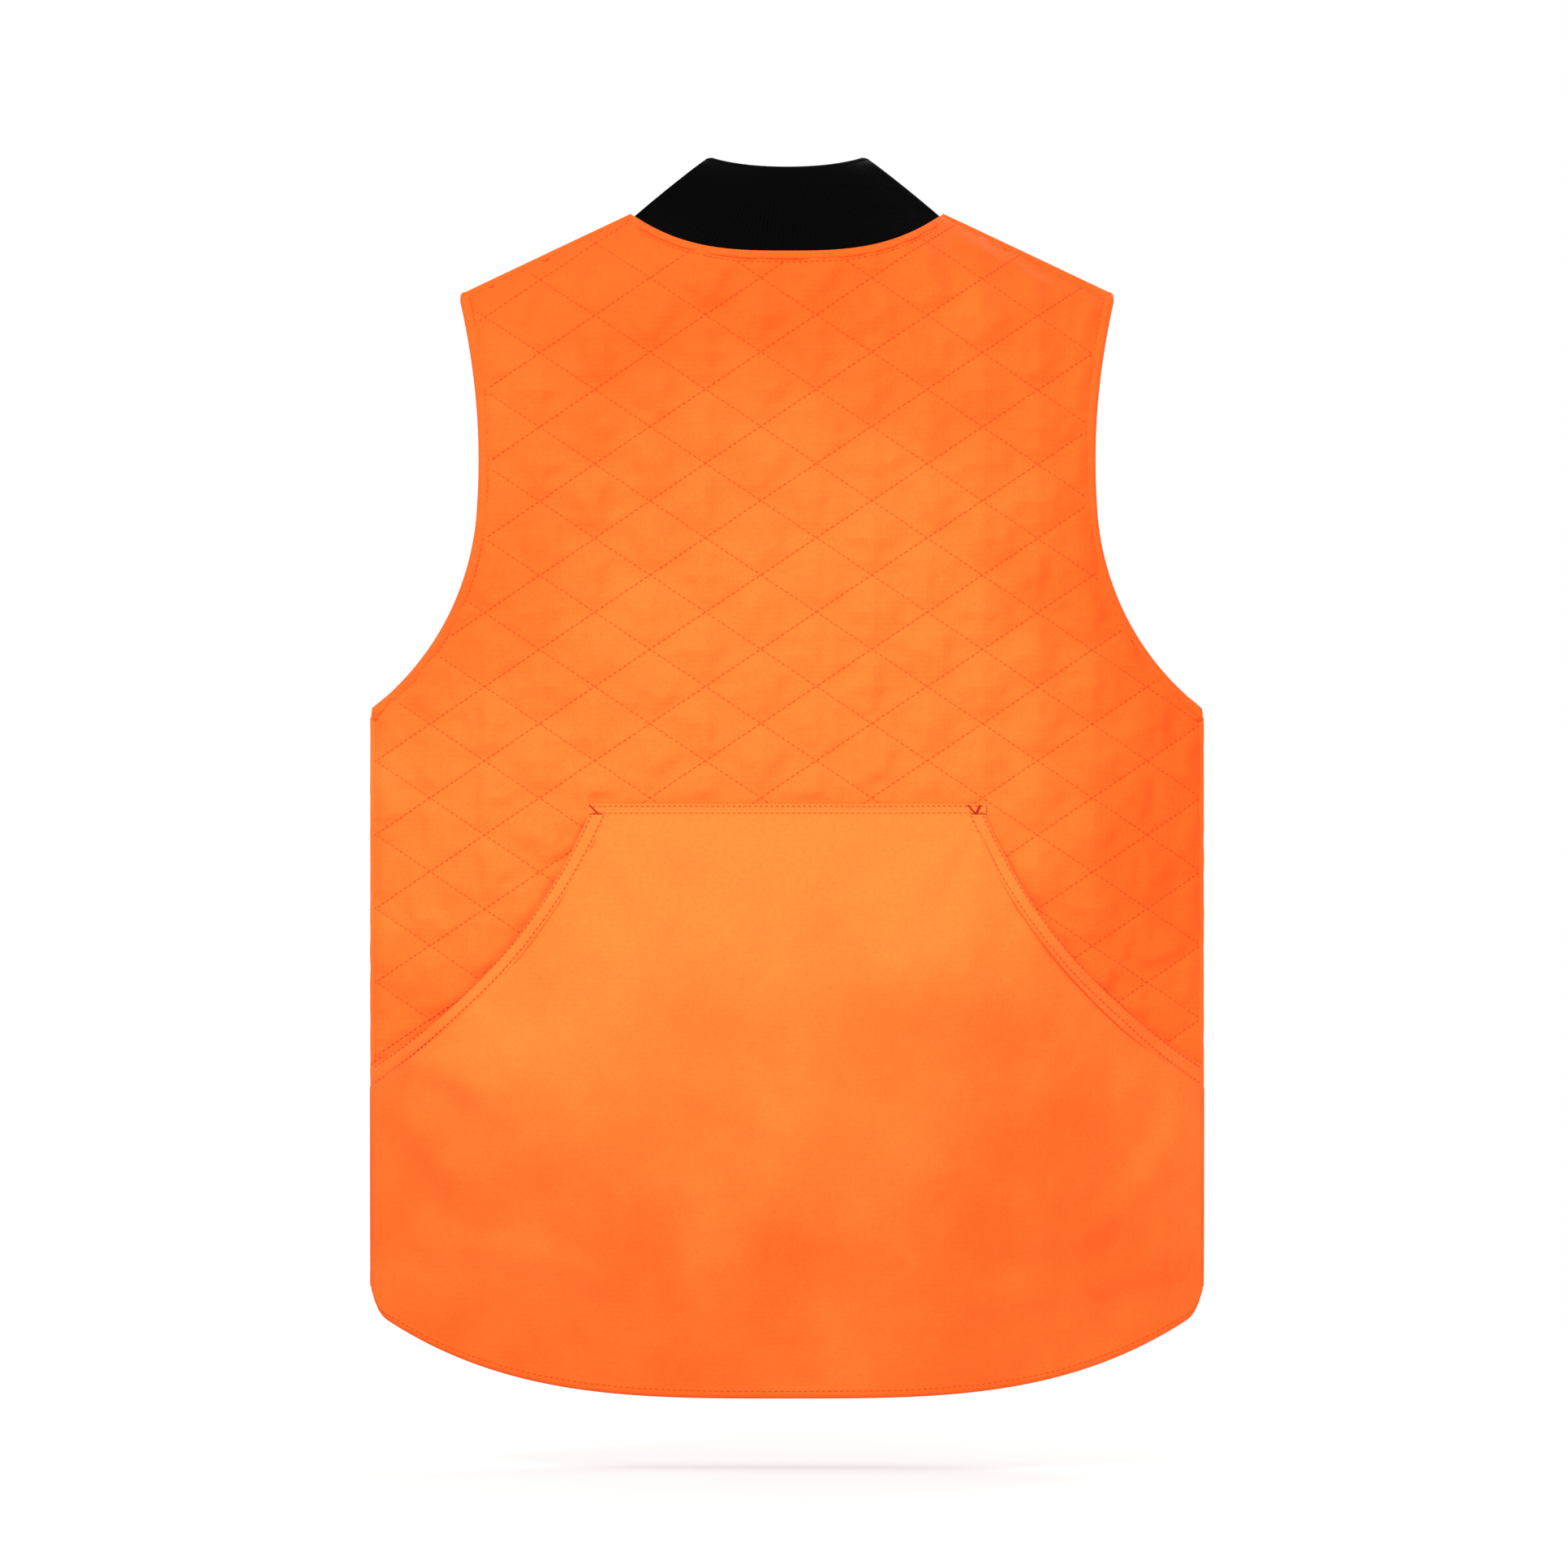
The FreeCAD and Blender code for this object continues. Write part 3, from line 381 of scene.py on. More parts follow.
def stitches(name, runs, radius=0.00027):
    """Short raised threads that dive into the cloth at both ends."""
    rings = ((0.0, 0.35, -0.9), (0.16, 0.85, 0.15), (0.5, 1.0, 0.75), (0.84, 0.85, 0.15), (1.0, 0.35, -0.9))
    around = 5
    pieces = [piece for run in runs for piece in run]
    start = np.array([p[0] for p in pieces])
    end = np.array([p[1] for p in pieces])
    up = np.array([p[2] for p in pieces])
    up /= np.linalg.norm(up, axis=1, keepdims=True)
    ahead = end - start
    aside = np.cross(ahead, up)
    aside /= np.maximum(np.linalg.norm(aside, axis=1, keepdims=True), 1e-9)
    points = []
    for share, thick, rise in rings:
        middle = start + ahead * share + up * radius * rise
        for step in range(around):
            turn = 2 * math.pi * step / around
            out = aside * math.cos(turn) + up * math.sin(turn)
            points.append(middle + out * radius * thick)
    points = np.stack(points, 1).reshape(-1, 3)
    one = grid_faces(len(rings), around, wrap=True)
    one += [tuple(range(around))[::-1], tuple((len(rings) - 1) * around + n for n in range(around))]
    total = len(rings) * around
    faces = [tuple(v + total * n for v in f) for n in range(len(pieces)) for f in one]
    return mesh_object(name, points, faces)


def on_form(x, z, side, lift=0.0):
    """Points on the form, and its outward directions there."""
    x, z = np.asarray(x, float), np.asarray(z, float)
    y = depth(x, z) + lift
    step = 0.001
    gx = (depth(x + step, z) - depth(x - step, z)) / (2 * step)
    gz = (depth(x, z + step) - depth(x, z - step)) / (2 * step)
    outward = np.stack([-gx, np.ones_like(gx) * side, -gz], -1)
    return np.stack([x, side * y, z], -1), outward


def surface_of(made):
    """A search tree over a finished mesh, for laying stitches on it."""
    data = made.data
    return BVHTree.FromPolygons([v.co for v in data.vertices], [p.vertices for p in data.polygons])


def laid(path, outward, surface, inside=False):
    """The path moved along its outward directions onto a surface; places off it are dropped.

    inside puts it on the surface's inner face instead.
    """
    face = -1 if inside else 1
    kept, ways = [], []
    for place, way in zip(path, unit(np.asarray(outward, float))):
        start = Vector(place + way * 0.03)
        hit = surface.ray_cast(start, Vector(-way), 0.045)[0]
        if hit is not None:
            kept.append(np.array(hit) + way * face * 0.0001)
            ways.append(way * face)
    return np.array(kept), np.array(ways)


def seam_stitches(places, side, away, surface, long=0.0026):
    """Topstitching along (x, z) places on the left, put on one side and laid on a surface."""
    points, outward = on_form(places[:, 0], places[:, 1], away)
    points[:, 0] *= side
    outward[:, 0] *= side
    points, outward = laid(points, outward, surface)
    return stitch_run(points, outward, long)


def quilt_runs(side, neckline, near, origin, mirror, surface, low=None, inside=False):
    """Stitches along both families of quilting lines, inside a panel's edges."""
    runs = []
    flip = -1 if mirror else 1
    for family in (1, -1):
        for number in range(-24, 25):
            x = np.arange(-CHEST, CHEST, 0.0015)
            z = origin[1] + QUILT_TALL * family * (number - (x - origin[0]) / QUILT_WIDE)
            limit = side_at(z, 0.007)
            keep = (np.abs(x) < limit) & (z < panel_top(x, neckline, 0.004) - 0.003)
            keep &= z > hemline(x) + HEM_WIDE + 0.001
            if near is not None:
                keep &= x > near
            if low is not None:
                keep &= z > low(x)
            marks = np.nonzero(keep)[0]
            for stretch in np.split(marks, np.nonzero(np.diff(marks) > 1)[0] + 1):
                if len(stretch) > 5:
                    points, outward = on_form(x[stretch], z[stretch], side)
                    points[:, 0] *= flip
                    outward[:, 0] *= flip
                    points, outward = laid(points, outward, surface, inside)
                    if len(points) > 5:
                        runs.append(stitch_run(points, outward))
    return runs


# ---------------------------------------------------------------- edges: bindings and hems


def swept(name, middle, wide, deep, half_wide, half_deep, closed=False, power=2.6, around=20):
    """A soft flattened roll along a path; wide and deep are its cross-section's directions."""
    turns = 2 * math.pi * np.arange(around) / around
    c, s = np.cos(turns), np.sin(turns)
    a = np.sign(c) * np.abs(c) ** (2 / power)
    b = np.sign(s) * np.abs(s) ** (2 / power)
    half_wide = np.broadcast_to(np.asarray(half_wide, float), (len(middle),))
    half_deep = np.broadcast_to(np.asarray(half_deep, float), (len(middle),))
    grid = (
        middle[:, None]
        + wide[:, None] * (a[None, :, None] * half_wide[:, None, None])
        + deep[:, None] * (b[None, :, None] * half_deep[:, None, None])
    )
    if closed:
        grid = np.concatenate([grid, grid[:1]])
    made = grid_object(name, grid, wrap=True)
    if not closed:
        rows = len(grid)
        caps = [tuple(range(around)), tuple((rows - 1) * around + n for n in range(around))]
        points = grid.reshape(-1, 3)
        bpy.data.objects.remove(made)
        made = mesh_object(name, points, grid_faces(rows, around, True) + [caps[0][::-1], caps[1]])
    outward_fix(made)
    return made


def outward_fix(made):
    """Turns the faces outward if the closed mesh came out inside out."""
    work = bmesh.new()
    work.from_mesh(made.data)
    bmesh.ops.remove_doubles(work, verts=work.verts, dist=1e-7)
    bmesh.ops.recalc_face_normals(work, faces=work.faces)
    work.to_mesh(made.data)
    work.free()
    made.data.polygons.foreach_set("use_smooth", [True] * len(made.data.polygons))


def unit(vectors):
    return vectors / np.maximum(np.linalg.norm(vectors, axis=-1, keepdims=True), 1e-9)


def puckered(amount, count, seed):
    """Small uneven swellings along a seam."""
    steps = np.arange(count)
    return amount * np.array([noise.noise(Vector((n * 0.21, seed, 0.0))) for n in steps])


def armhole_binding(name, side):
    """A turned edge round the whole armhole, over the shoulder and under the arm."""
    edge = armhole(0.0035)
    x, z = edge[:, 0], edge[:, 1]
    half = CLOTH / 2 - 0.0004
    y = np.maximum(depth(x, z) - half, 0.0011)
    back = np.stack([x, y, z], 1)
    tip = np.array([[TIP - 0.0036, 0.0, float(ridge(TIP - 0.0035)) - 0.0036]])
    pit = np.array([[RIM - 0.0042, 0.0, -0.3040]])
    front = back[::-1] * np.array([1, -1, 1])
    loop = np.concatenate([tip, back, pit, front])
    loop[:, 0] = np.minimum(loop[:, 0], RIM - 0.0042)
    loop = resampled(loop, 420, closed=True)
    ahead = unit(np.roll(loop, -1, 0) - np.roll(loop, 1, 0))
    facing = loop.copy() * np.array([0, 1, 0])
    facing[:, 1] = np.clip(facing[:, 1] / 0.004, -1, 1)
    facing[:, 2] = (1 - np.abs(facing[:, 1])) * np.where(loop[:, 2] > -0.15, 1, -1) + 1e-6
    deep = unit(facing - ahead * np.sum(facing * ahead, 1, keepdims=True))
    wide = unit(np.cross(deep, ahead))
    swell = 1 + puckered(0.10, len(loop), side * 3.3)
    loop[:, 0] *= side
    wide[:, 0] *= side
    deep[:, 0] *= side
    return swept(name, loop, wide, deep, 0.0041, (half + 0.0008) * swell, closed=True)


def resampled(path, count, closed=False):
    if closed:
        path = np.concatenate([path, path[:1]])
    length = np.concatenate([[0], np.cumsum(np.linalg.norm(np.diff(path, axis=0), axis=1))])
    at = np.linspace(0, length[-1], count + 1)[:count] if closed else np.linspace(0, length[-1], count)
    return np.stack([np.interp(at, length, path[:, k]) for k in range(3)], 1)


def hem(name, near, far, side, over, seed):
    """A stretch of the turned bottom hem."""
    count = max(12, int(abs(far - near) / 0.0025))
    x = np.linspace(near, far, count)
    outline = np.stack([x, hemline(x)], 1)
    along = unit(np.gradient(outline, axis=0)) * np.sign(far - near)
    x, z = (outline + np.stack([-along[:, 1], along[:, 0]], 1) * HEM_WIDE / 2).T
    half = (CLOTH + over) / 2
    y = np.maximum(depth(x, z) + over - half, 0.0012)
    middle = np.stack([x, side * y, z], 1)
    ahead = unit(np.gradient(middle, axis=0))
    deep = np.tile(np.array([0.0, side, 0.0]), (count, 1))
    deep = unit(deep - ahead * np.sum(deep * ahead, 1, keepdims=True))
    wide = unit(np.cross(deep, ahead))
    swell = 1 + puckered(0.07, count, seed)
    half_deep = np.minimum(half, np.maximum(depth(x, z) * 0.62, 0.0018)) * swell
    return swept(name, middle, wide, deep, HEM_WIDE / 2, half_deep)


# ---------------------------------------------------------------- materials


def node(tree, kind, **values):
    made = tree.nodes.new(kind)
    for key, value in values.items():
        if hasattr(made, key):
            setattr(made, key, value)
        else:
            made.inputs[key.replace("_", " ")].default_value = value
    return made


def fabric(
    name, dark, light, weave=0.00055, bump=0.25, sheen=0.05, rough=0.8, stain=0.3, shine=0.12,
    # the centre of a painted pool of light on the cloth
    painted_light_centre=(0.06, 0.0, -0.40),
):
    """Woven cloth: crossed threads, slow random changes of colour with a painted pool of light (lighter and
    yellower round a point low in the middle, darker and redder away from it), faint wear and a soft sheen.
    """
    made = bpy.data.materials.new(name)
    made.use_nodes = True
    tree = made.node_tree
    shader = tree.nodes["Principled BSDF"]
    shader.inputs["Roughness"].default_value = rough
    shader.inputs["Sheen Weight"].default_value = sheen
    shader.inputs["Sheen Roughness"].default_value = 0.45
    shader.inputs["Specular IOR Level"].default_value = shine
    place = node(tree, "ShaderNodeTexCoord")
    link = tree.links.new
    slow = node(tree, "ShaderNodeTexNoise", Scale=5.5, Detail=4.0, Roughness=0.55)
    link(place.outputs["Object"], slow.inputs["Vector"])
    fine = node(tree, "ShaderNodeTexNoise", Scale=420.0, Detail=3.0, Roughness=0.6)
    link(place.outputs["Object"], fine.inputs["Vector"])
    ramp = node(tree, "ShaderNodeValToRGB")
    ramp.color_ramp.elements[0].position = 0.32
    ramp.color_ramp.elements[0].color = (*dark, 1)
    ramp.color_ramp.elements[1].position = 0.68
    ramp.color_ramp.elements[1].color = (*light, 1)
    # Painted light and shade: the colour is pushed to the lighter, yellower tone near a point low in the
    # middle of the vest and to the darker, redder tone away from it, as light would fall.
    away = node(tree, "ShaderNodeVectorMath", operation="DISTANCE")
    away.inputs[1].default_value = painted_light_centre
    link(place.outputs["Object"], away.inputs[0])
    painted_light_falloff = node(tree, "ShaderNodeMapRange", interpolation_type="SMOOTHSTEP")
    for socket, value in (("From Min", 0.05), ("From Max", 0.42), ("To Min", 0.22), ("To Max", -0.2)):
        painted_light_falloff.inputs[socket].default_value = value
    link(away.outputs["Value"], painted_light_falloff.inputs["Value"])
    # The slow random tone plus the painted light and shade picks the colour on the ramp.
    tone_and_painted_light = node(tree, "ShaderNodeMath", operation="ADD")
    link(slow.outputs["Fac"], tone_and_painted_light.inputs[0])
    link(painted_light_falloff.outputs["Result"], tone_and_painted_light.inputs[1])
    link(tone_and_painted_light.outputs["Value"], ramp.inputs["Fac"])
    speck = node(tree, "ShaderNodeMix", data_type="RGBA", blend_type="MULTIPLY")
    speck.inputs["Factor"].default_value = stain
    link(ramp.outputs["Color"], speck.inputs["A"])
    grey = node(tree, "ShaderNodeValToRGB")
    grey.color_ramp.elements[0].position = 0.25
    grey.color_ramp.elements[0].color = (0.72, 0.62, 0.55, 1)
    grey.color_ramp.elements[1].position = 0.6
    link(fine.outputs["Fac"], grey.inputs["Fac"])
    link(grey.outputs["Color"], speck.inputs["B"])
    link(speck.outputs["Result"], shader.inputs["Base Color"])
    heights = []
    for direction in ("X", "Z"):
        wave = node(tree, "ShaderNodeTexWave", wave_type="BANDS", bands_direction=direction)
        wave.inputs["Scale"].default_value = 0.05 / weave
        wave.inputs["Distortion"].default_value = 1.2
        wave.inputs["Detail"].default_value = 1.0
        wave.inputs["Detail Scale"].default_value = 2.0
        link(place.outputs["Object"], wave.inputs["Vector"])
        heights.append(wave)
    both = node(tree, "ShaderNodeMath", operation="MULTIPLY")
    link(heights[0].outputs["Fac"], both.inputs[0])
    link(heights[1].outputs["Fac"], both.inputs[1])
    rough_mix = node(tree, "ShaderNodeMath", operation="ADD")
    link(both.outputs["Value"], rough_mix.inputs[0])
    link(fine.outputs["Fac"], rough_mix.inputs[1])
    relief = node(tree, "ShaderNodeBump")
    relief.inputs["Strength"].default_value = bump
    relief.inputs["Distance"].default_value = 0.0004
    link(rough_mix.outputs["Value"], relief.inputs["Height"])
    link(relief.outputs["Normal"], shader.inputs["Normal"])
    return made


def hard(name, color, rough=0.4, metallic=0.0):
    """Moulded or lacquered zip parts, with fine scuffs."""
    made = bpy.data.materials.new(name)
    made.use_nodes = True
    tree = made.node_tree
    shader = tree.nodes["Principled BSDF"]
    shader.inputs["Metallic"].default_value = metallic
    place = node(tree, "ShaderNodeTexCoord")
    grain = node(tree, "ShaderNodeTexNoise", Scale=900.0, Detail=4.0)
    tree.links.new(place.outputs["Object"], grain.inputs["Vector"])
    ramp = node(tree, "ShaderNodeValToRGB")
    ramp.color_ramp.elements[0].color = (*[c * 0.8 for c in color], 1)
    ramp.color_ramp.elements[1].color = (*[min(1, c * 1.5 + 0.01) for c in color], 1)
    tree.links.new(grain.outputs["Fac"], ramp.inputs["Fac"])
    tree.links.new(ramp.outputs["Color"], shader.inputs["Base Color"])
    shader.inputs["Roughness"].default_value = rough
    return made


SHELL = fabric("shell_cloth", (0.98, 0.118, 0.015), (1.0, 0.182, 0.028), sheen=0.03, rough=0.9, shine=0.04)
POUCH = fabric("pouch_cloth", (1.0, 0.118, 0.016), (1.0, 0.208, 0.035), bump=0.2, sheen=0.03, shine=0.06)
EDGE = fabric("binding_cloth", (0.98, 0.118, 0.014), (1.0, 0.162, 0.024), sheen=0.03, shine=0.06)
THREAD = fabric("quilting_thread", (0.72, 0.066, 0.013), (0.82, 0.088, 0.018), weave=0.0003)
TACK = fabric("bar_tack_thread", (0.42, 0.012, 0.006), (0.55, 0.02, 0.008), weave=0.0003)
LINING = fabric("lining_cloth", (0.90, 0.125, 0.020), (0.98, 0.165, 0.030), sheen=0.08, rough=0.5)
KNIT = fabric(
    "rib_knit", (0.0010, 0.0009, 0.0012), (0.0024, 0.0022, 0.0027),
    weave=0.0011, bump=0.6, sheen=0.012, rough=0.95, stain=0.5, shine=0.04,
)
TAPE = fabric("zip_tape", (0.006, 0.006, 0.007), (0.012, 0.012, 0.013), weave=0.0007, bump=0.5)
LABEL = fabric("label_cloth", (0.62, 0.61, 0.57), (0.72, 0.71, 0.67), weave=0.0004, bump=0.4)
PLASTIC = hard("zip_plastic", (0.012, 0.012, 0.013), rough=0.38)
METAL = hard("zip_metal", (0.02, 0.02, 0.022), rough=0.3, metallic=0.6)


def dress(made, material, body=None, replaced=()):
    made.data.materials.clear()
    made.data.materials.append(material)
    if body:
        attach(made, body)
    if replaced:
        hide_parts(*replaced)
    return made


def folds(made):
    """Bakes the placement of a piece of a front into its mesh."""
    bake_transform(made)


# ---------------------------------------------------------------- back

back = quilted("quilted_back", 1, back_neckline, None, QUILTS["back"])
dress(back, SHELL, "torso", ("back_shell", "back_batting"))


def above_pouch(x):
    """Lowest place at which the back's quilting can be seen, behind the mouths included."""
    x = np.abs(x)
    return np.where(x < POUCH_HALF - 0.02, POUCH_TOP - 0.03, -0.585)


panel_surfaces = {"back": surface_of(back)}
runs = quilt_runs(1, back_neckline, None, QUILTS["back"], False, panel_surfaces["back"], above_pouch)
dress(stitches("quilting_back", runs), THREAD, "torso")

# ---------------------------------------------------------------- fronts

EDGE_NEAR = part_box("front_edge_left_shell")[0].x
for side_name, side in SIDES:
    front = quilted(
        f"quilted_front_{side_name}", -1, front_neckline, EDGE_NEAR + 0.002, QUILTS["front"], side < 0
    )
    dress(front, SHELL, None, (
        f"front_{side_name}_shell", f"front_{side_name}_batting",
        f"front_edge_{side_name}_shell", f"front_edge_{side_name}_batting",
    ))
    surface = panel_surfaces[f"front_{side_name}"] = surface_of(front)
    folds(front)
    runs = quilt_runs(-1, front_neckline, EDGE_NEAR + 0.012, QUILTS["front"], side < 0, surface)
    lines = stitches(f"quilting_front_{side_name}", runs)
    dress(lines, THREAD)
    folds(lines)

# ---------------------------------------------------------------- lining


def lining(name, side, neckline, near, mirror):
    """The inside of a panel, dimpled a little where the quilting pulls it."""
    edge = armhole(0.003)
    foot = float(hemline(REACH)) + 0.004
    edge = edge[edge[:, 0] < REACH + 1e-6]
    edge = np.concatenate([edge, [[REACH, foot]]])
    edge = resampled(np.column_stack([edge, np.zeros(len(edge))]), 190)[:, :2]
    shares = np.linspace(0 if near is not None else -1, 1, 80 if near is not None else 150)
    base = near or 0.0
    grid = []
    for share in shares:
        top_x = base + (edge[0, 0] - base) * share
        neck = neckline(top_x) - 0.001 if abs(top_x) < NECK else 1.0
        top = min(neck, float(seam_level(top_x, 0.004)))
        x = base + (edge[:, 0] - base) * share
        fall = (edge[0, 1] - edge[:, 1]) / (edge[0, 1] - edge[-1, 1])
        z = top + (hemline(x[-1]) + 0.004 - top) * fall
        grid.append(np.stack([x, z], 1))
    grid = np.array(grid)
    x, z = grid[..., 0], grid[..., 1]
    full = depth(x, z)
    y = full - CLOTH * full / (full + 0.0022)
    dimples = quilt_height(x, z, QUILTS["back" if side > 0 else "front"])
    y -= 0.0022 * dimples * np.clip((full - 0.008) / 0.01, 0, 1)
    y = np.maximum(y, 0.0004)
    flip = -1 if mirror else 1
    grid = np.stack([flip * x, side * y, z], -1)
    made = grid_object(name, grid, flip=side * flip < 0)
    return made


inside = lining("lining_of_back", 1, back_neckline, None, False)
dress(inside, LINING, "torso", ("back_lining",))
runs = quilt_runs(1, back_neckline, None, QUILTS["back"], False, surface_of(inside), None, True)
dress(stitches("quilting_inside_back", runs), THREAD, "torso")
for side_name, side in SIDES:
    inside = lining(f"lining_of_front_{side_name}", -1, front_neckline, EDGE_NEAR + 0.001, side < 0)
    replaced = (f"front_{side_name}_lining", f"front_edge_{side_name}_lining")
    dress(inside, LINING, None, replaced)
    runs = quilt_runs(
        -1, front_neckline, EDGE_NEAR + 0.012, QUILTS["front"], side < 0, surface_of(inside), None, True
    )
    line = dress(stitches(f"quilting_inside_front_{side_name}", runs), THREAD)
    for made in (inside, line):
        folds(made)

# ---------------------------------------------------------------- bindings, hems and seams

for side_name, side in SIDES:
    binding = armhole_binding(f"armhole_binding_{side_name}_rolled", side)
    dress(binding, EDGE, "torso", (
        f"armhole_binding_back_{side_name}", f"armhole_binding_front_{side_name}",
    ))
    surface = surface_of(binding)
    runs = [seam_stitches(armhole(0.0060), side, away, surface) for away in (1, -1)]
    dress(stitches(f"armhole_stitches_{side_name}", runs), THREAD, "torso")

back_hem = hem("hem_of_back", -RIM, RIM, 1, 0.0030, 1.7)
dress(back_hem, EDGE, "torso", ("hem_back",))
x = np.linspace(-RIM + 0.006, RIM - 0.006, 400)
runs = [seam_stitches(np.stack([x, hemline(x) + 0.0052], 1), 1, 1, surface_of(back_hem), 0.003)]
dress(stitches("hem_stitches_back", runs), THREAD, "torso")
for side_name, side in SIDES:
    front_hem = hem(f"hem_of_front_{side_name}", side * EDGE_NEAR, side * RIM, -1, 0.0012, side * 2.9)
    dress(front_hem, EDGE, None, (f"hem_front_{side_name}", f"hem_edge_{side_name}"))
    surface = surface_of(front_hem)
    folds(front_hem)
    x = np.linspace(EDGE_NEAR + 0.003, RIM - 0.006, 200)
    runs = [seam_stitches(np.stack([x, hemline(x) + 0.0052], 1), side, -1, surface, 0.003)]
    line = stitches(f"hem_stitches_front_{side_name}", runs)
    dress(line, THREAD)
    folds(line)

for side_name, side in SIDES:
    z = np.linspace(float(hemline(RIM)) + 0.002, -0.305, 150)
    path = np.stack([np.full(150, side * (CHEST - 0.0020)), np.zeros(150), z], 1)
    wide = np.tile([float(side), 0, 0], (150, 1))
    deep = np.tile([0, 1.0, 0], (150, 1))
    swell = 1 + puckered(0.15, 150, side * 5.1)
    seam = swept(f"side_seam_{side_name}_fold", path, wide, deep, 0.0020 * swell, 0.0019)
    dress(seam, SHELL, "torso", (f"side_seam_{side_name}",))
    x = np.linspace(NECK - 0.0015, TIP - 0.003, 120)
    path = np.stack([side * x, np.zeros(120), ridge(x) - 0.0032], 1)
    wide = unit(np.cross(np.tile([0, 1.0, 0], (120, 1)), unit(np.gradient(path, axis=0))))
    deep = np.tile([0, 1.0, 0], (120, 1))
    seam = swept(f"shoulder_seam_{side_name}_fold", path, wide, deep, 0.0032, 0.0036)
    dress(seam, SHELL, "torso", (f"shoulder_seam_{side_name}",))


def neck_path(neckline, side, near, far, drop):
    x = np.linspace(near, far, 150)
    z = neckline(np.clip(x, -NECK, NECK)) - drop
    return on_form(x, z, side, 0.0002)


for name, neckline, side, near, far in (
    ("back", back_neckline, 1, -NECK, NECK),
    ("front_left", front_neckline, -1, EDGE_NEAR, NECK),
    ("front_right", front_neckline, -1, -NECK, -EDGE_NEAR),
):
    path, deep = neck_path(neckline, side, near, far, 0.0030)
    ahead = unit(np.gradient(path, axis=0))
    deep = unit(deep - ahead * np.sum(unit(deep) * ahead, 1, keepdims=True))
    wide = unit(np.cross(deep, ahead))
    swell = 1 + puckered(0.12, 150, side * 7.7 + near)
    seam = swept(f"neck_seam_{name}", path, wide, deep, 0.0027, 0.0012 * swell)
    dress(seam, SHELL, "torso" if name == "back" else None)
    path, deep = neck_path(neckline, side, near + 0.004, far - 0.004, 0.0075)
    line = stitches(f"neck_stitches_{name}", [stitch_run(*laid(path, deep, panel_surfaces[name]))])
    dress(line, THREAD, "torso" if name == "back" else None)
    if name != "back":
        folds(seam)
        folds(line)

# ---------------------------------------------------------------- pouch

MOUTH_END = -0.527


def mouth(inset, count=60):
    """The left pouch mouth's curve, inset further into the pouch."""
    start = np.array([POUCH_HALF, POUCH_TOP - BAND])
    end = np.array([RIM, MOUTH_END - 0.008])
    along = (end - start) / np.linalg.norm(end - start)
    inward = np.array([along[1], -along[0]])
    middle = (start + end) / 2 + inward * (0.018 + inset)
    return arc_points(start + [-1.25 * inset, 0], middle, end + [0, -1.6 * inset], count)


def pouch_grid(edge, top_z):
    """Places over the pouch between its two side edges."""
    grid = []
    for share in np.linspace(-1, 1, 190):
        fall = (edge[0, 1] - edge[:, 1]) / (edge[0, 1] - edge[-1, 1])
        foot = hemline(edge[-1, 0] * share) + 0.003
        grid.append(np.stack([edge[:, 0] * share, top_z + (foot - top_z) * fall], 1))
    return np.array(grid)


CREASES = (
    ((0.264, -0.522), (0.171, -0.570), 0.0026), ((0.268, -0.560), (0.205, -0.628), 0.0022),
    ((-0.268, -0.562), (-0.193, -0.655), 0.0026), ((0.255, -0.650), (0.090, -0.676), 0.0022),
    ((-0.258, -0.660), (-0.105, -0.690), 0.0022), ((0.070, -0.545), (-0.030, -0.600), 0.0014),
    ((-0.060, -0.420), (-0.150, -0.520), 0.0014), ((0.110, -0.400), (0.075, -0.500), 0.0013),
)


def crease(x, z, start, end, high):
    """A soft ridge along a line, with a shallow hollow beside it."""
    ahead = np.array(end) - np.array(start)
    long = np.hypot(*ahead)
    ahead = ahead / long
    along = ((x - start[0]) * ahead[0] + (z - start[1]) * ahead[1]) / long
    aside = (z - start[1]) * ahead[0] - (x - start[0]) * ahead[1]
    aside = aside + 0.006 * np.sin(along * 4)
    fade = np.exp(-((along - 0.5) / 0.42) ** 4)
    return high * fade * (np.exp(-(aside / 0.010) ** 2) - 0.7 * np.exp(-((aside - 0.020) / 0.013) ** 2))


def pouch_folds(x, z):
    """Soft folds that hang from the upper corners and gather over the hem."""
    high = POUCH_TOP - BAND
    fade = np.clip((high - z) / 0.05, 0, 1) * np.clip((z - hemline(x) - 0.006) / 0.04, 0, 1)
    fade = fade * np.clip((RIM - np.abs(x)) / 0.03, 0, 1)
    folds_of_side = 0
    for corner in (POUCH_HALF, -POUCH_HALF):
        angle = np.arctan2(x - corner, high - z + 1e-6)
        reach = np.hypot(x - corner, high - z)
        folds_of_side = folds_of_side + np.sin(angle * 9 + reach * 11) * np.exp(-reach / 0.13) * 0.0012
    broad = ripples(x, z * 0.6, 0.11, 3.7) * 0.0026
    small = ripples(x * 1.6, z, 0.035, 8.1) * 0.0006
    drag = sum(crease(x, z, *line) for line in CREASES)
    return fade * (folds_of_side + broad + small + drag)


edge = mouth(0.0085)
foot = float(hemline(RIM)) + 0.003
edge = np.concatenate([edge, [[RIM, foot]]])
edge = resampled(np.column_stack([edge, np.zeros(len(edge))]), 140)[:, :2]
places = pouch_grid(edge, POUCH_TOP - 0.004)
x, z = places[..., 0], places[..., 1]
y = depth(x, z) + pouch_stand(x, z) + 0.0015 + pouch_folds(x, z)
pouch = grid_object("pouch_cloth_panel", np.stack([x, y, z], -1))
thickened(pouch, POUCH_CLOTH, -1)
dress(pouch, POUCH, "torso", ("pouch_panel",))


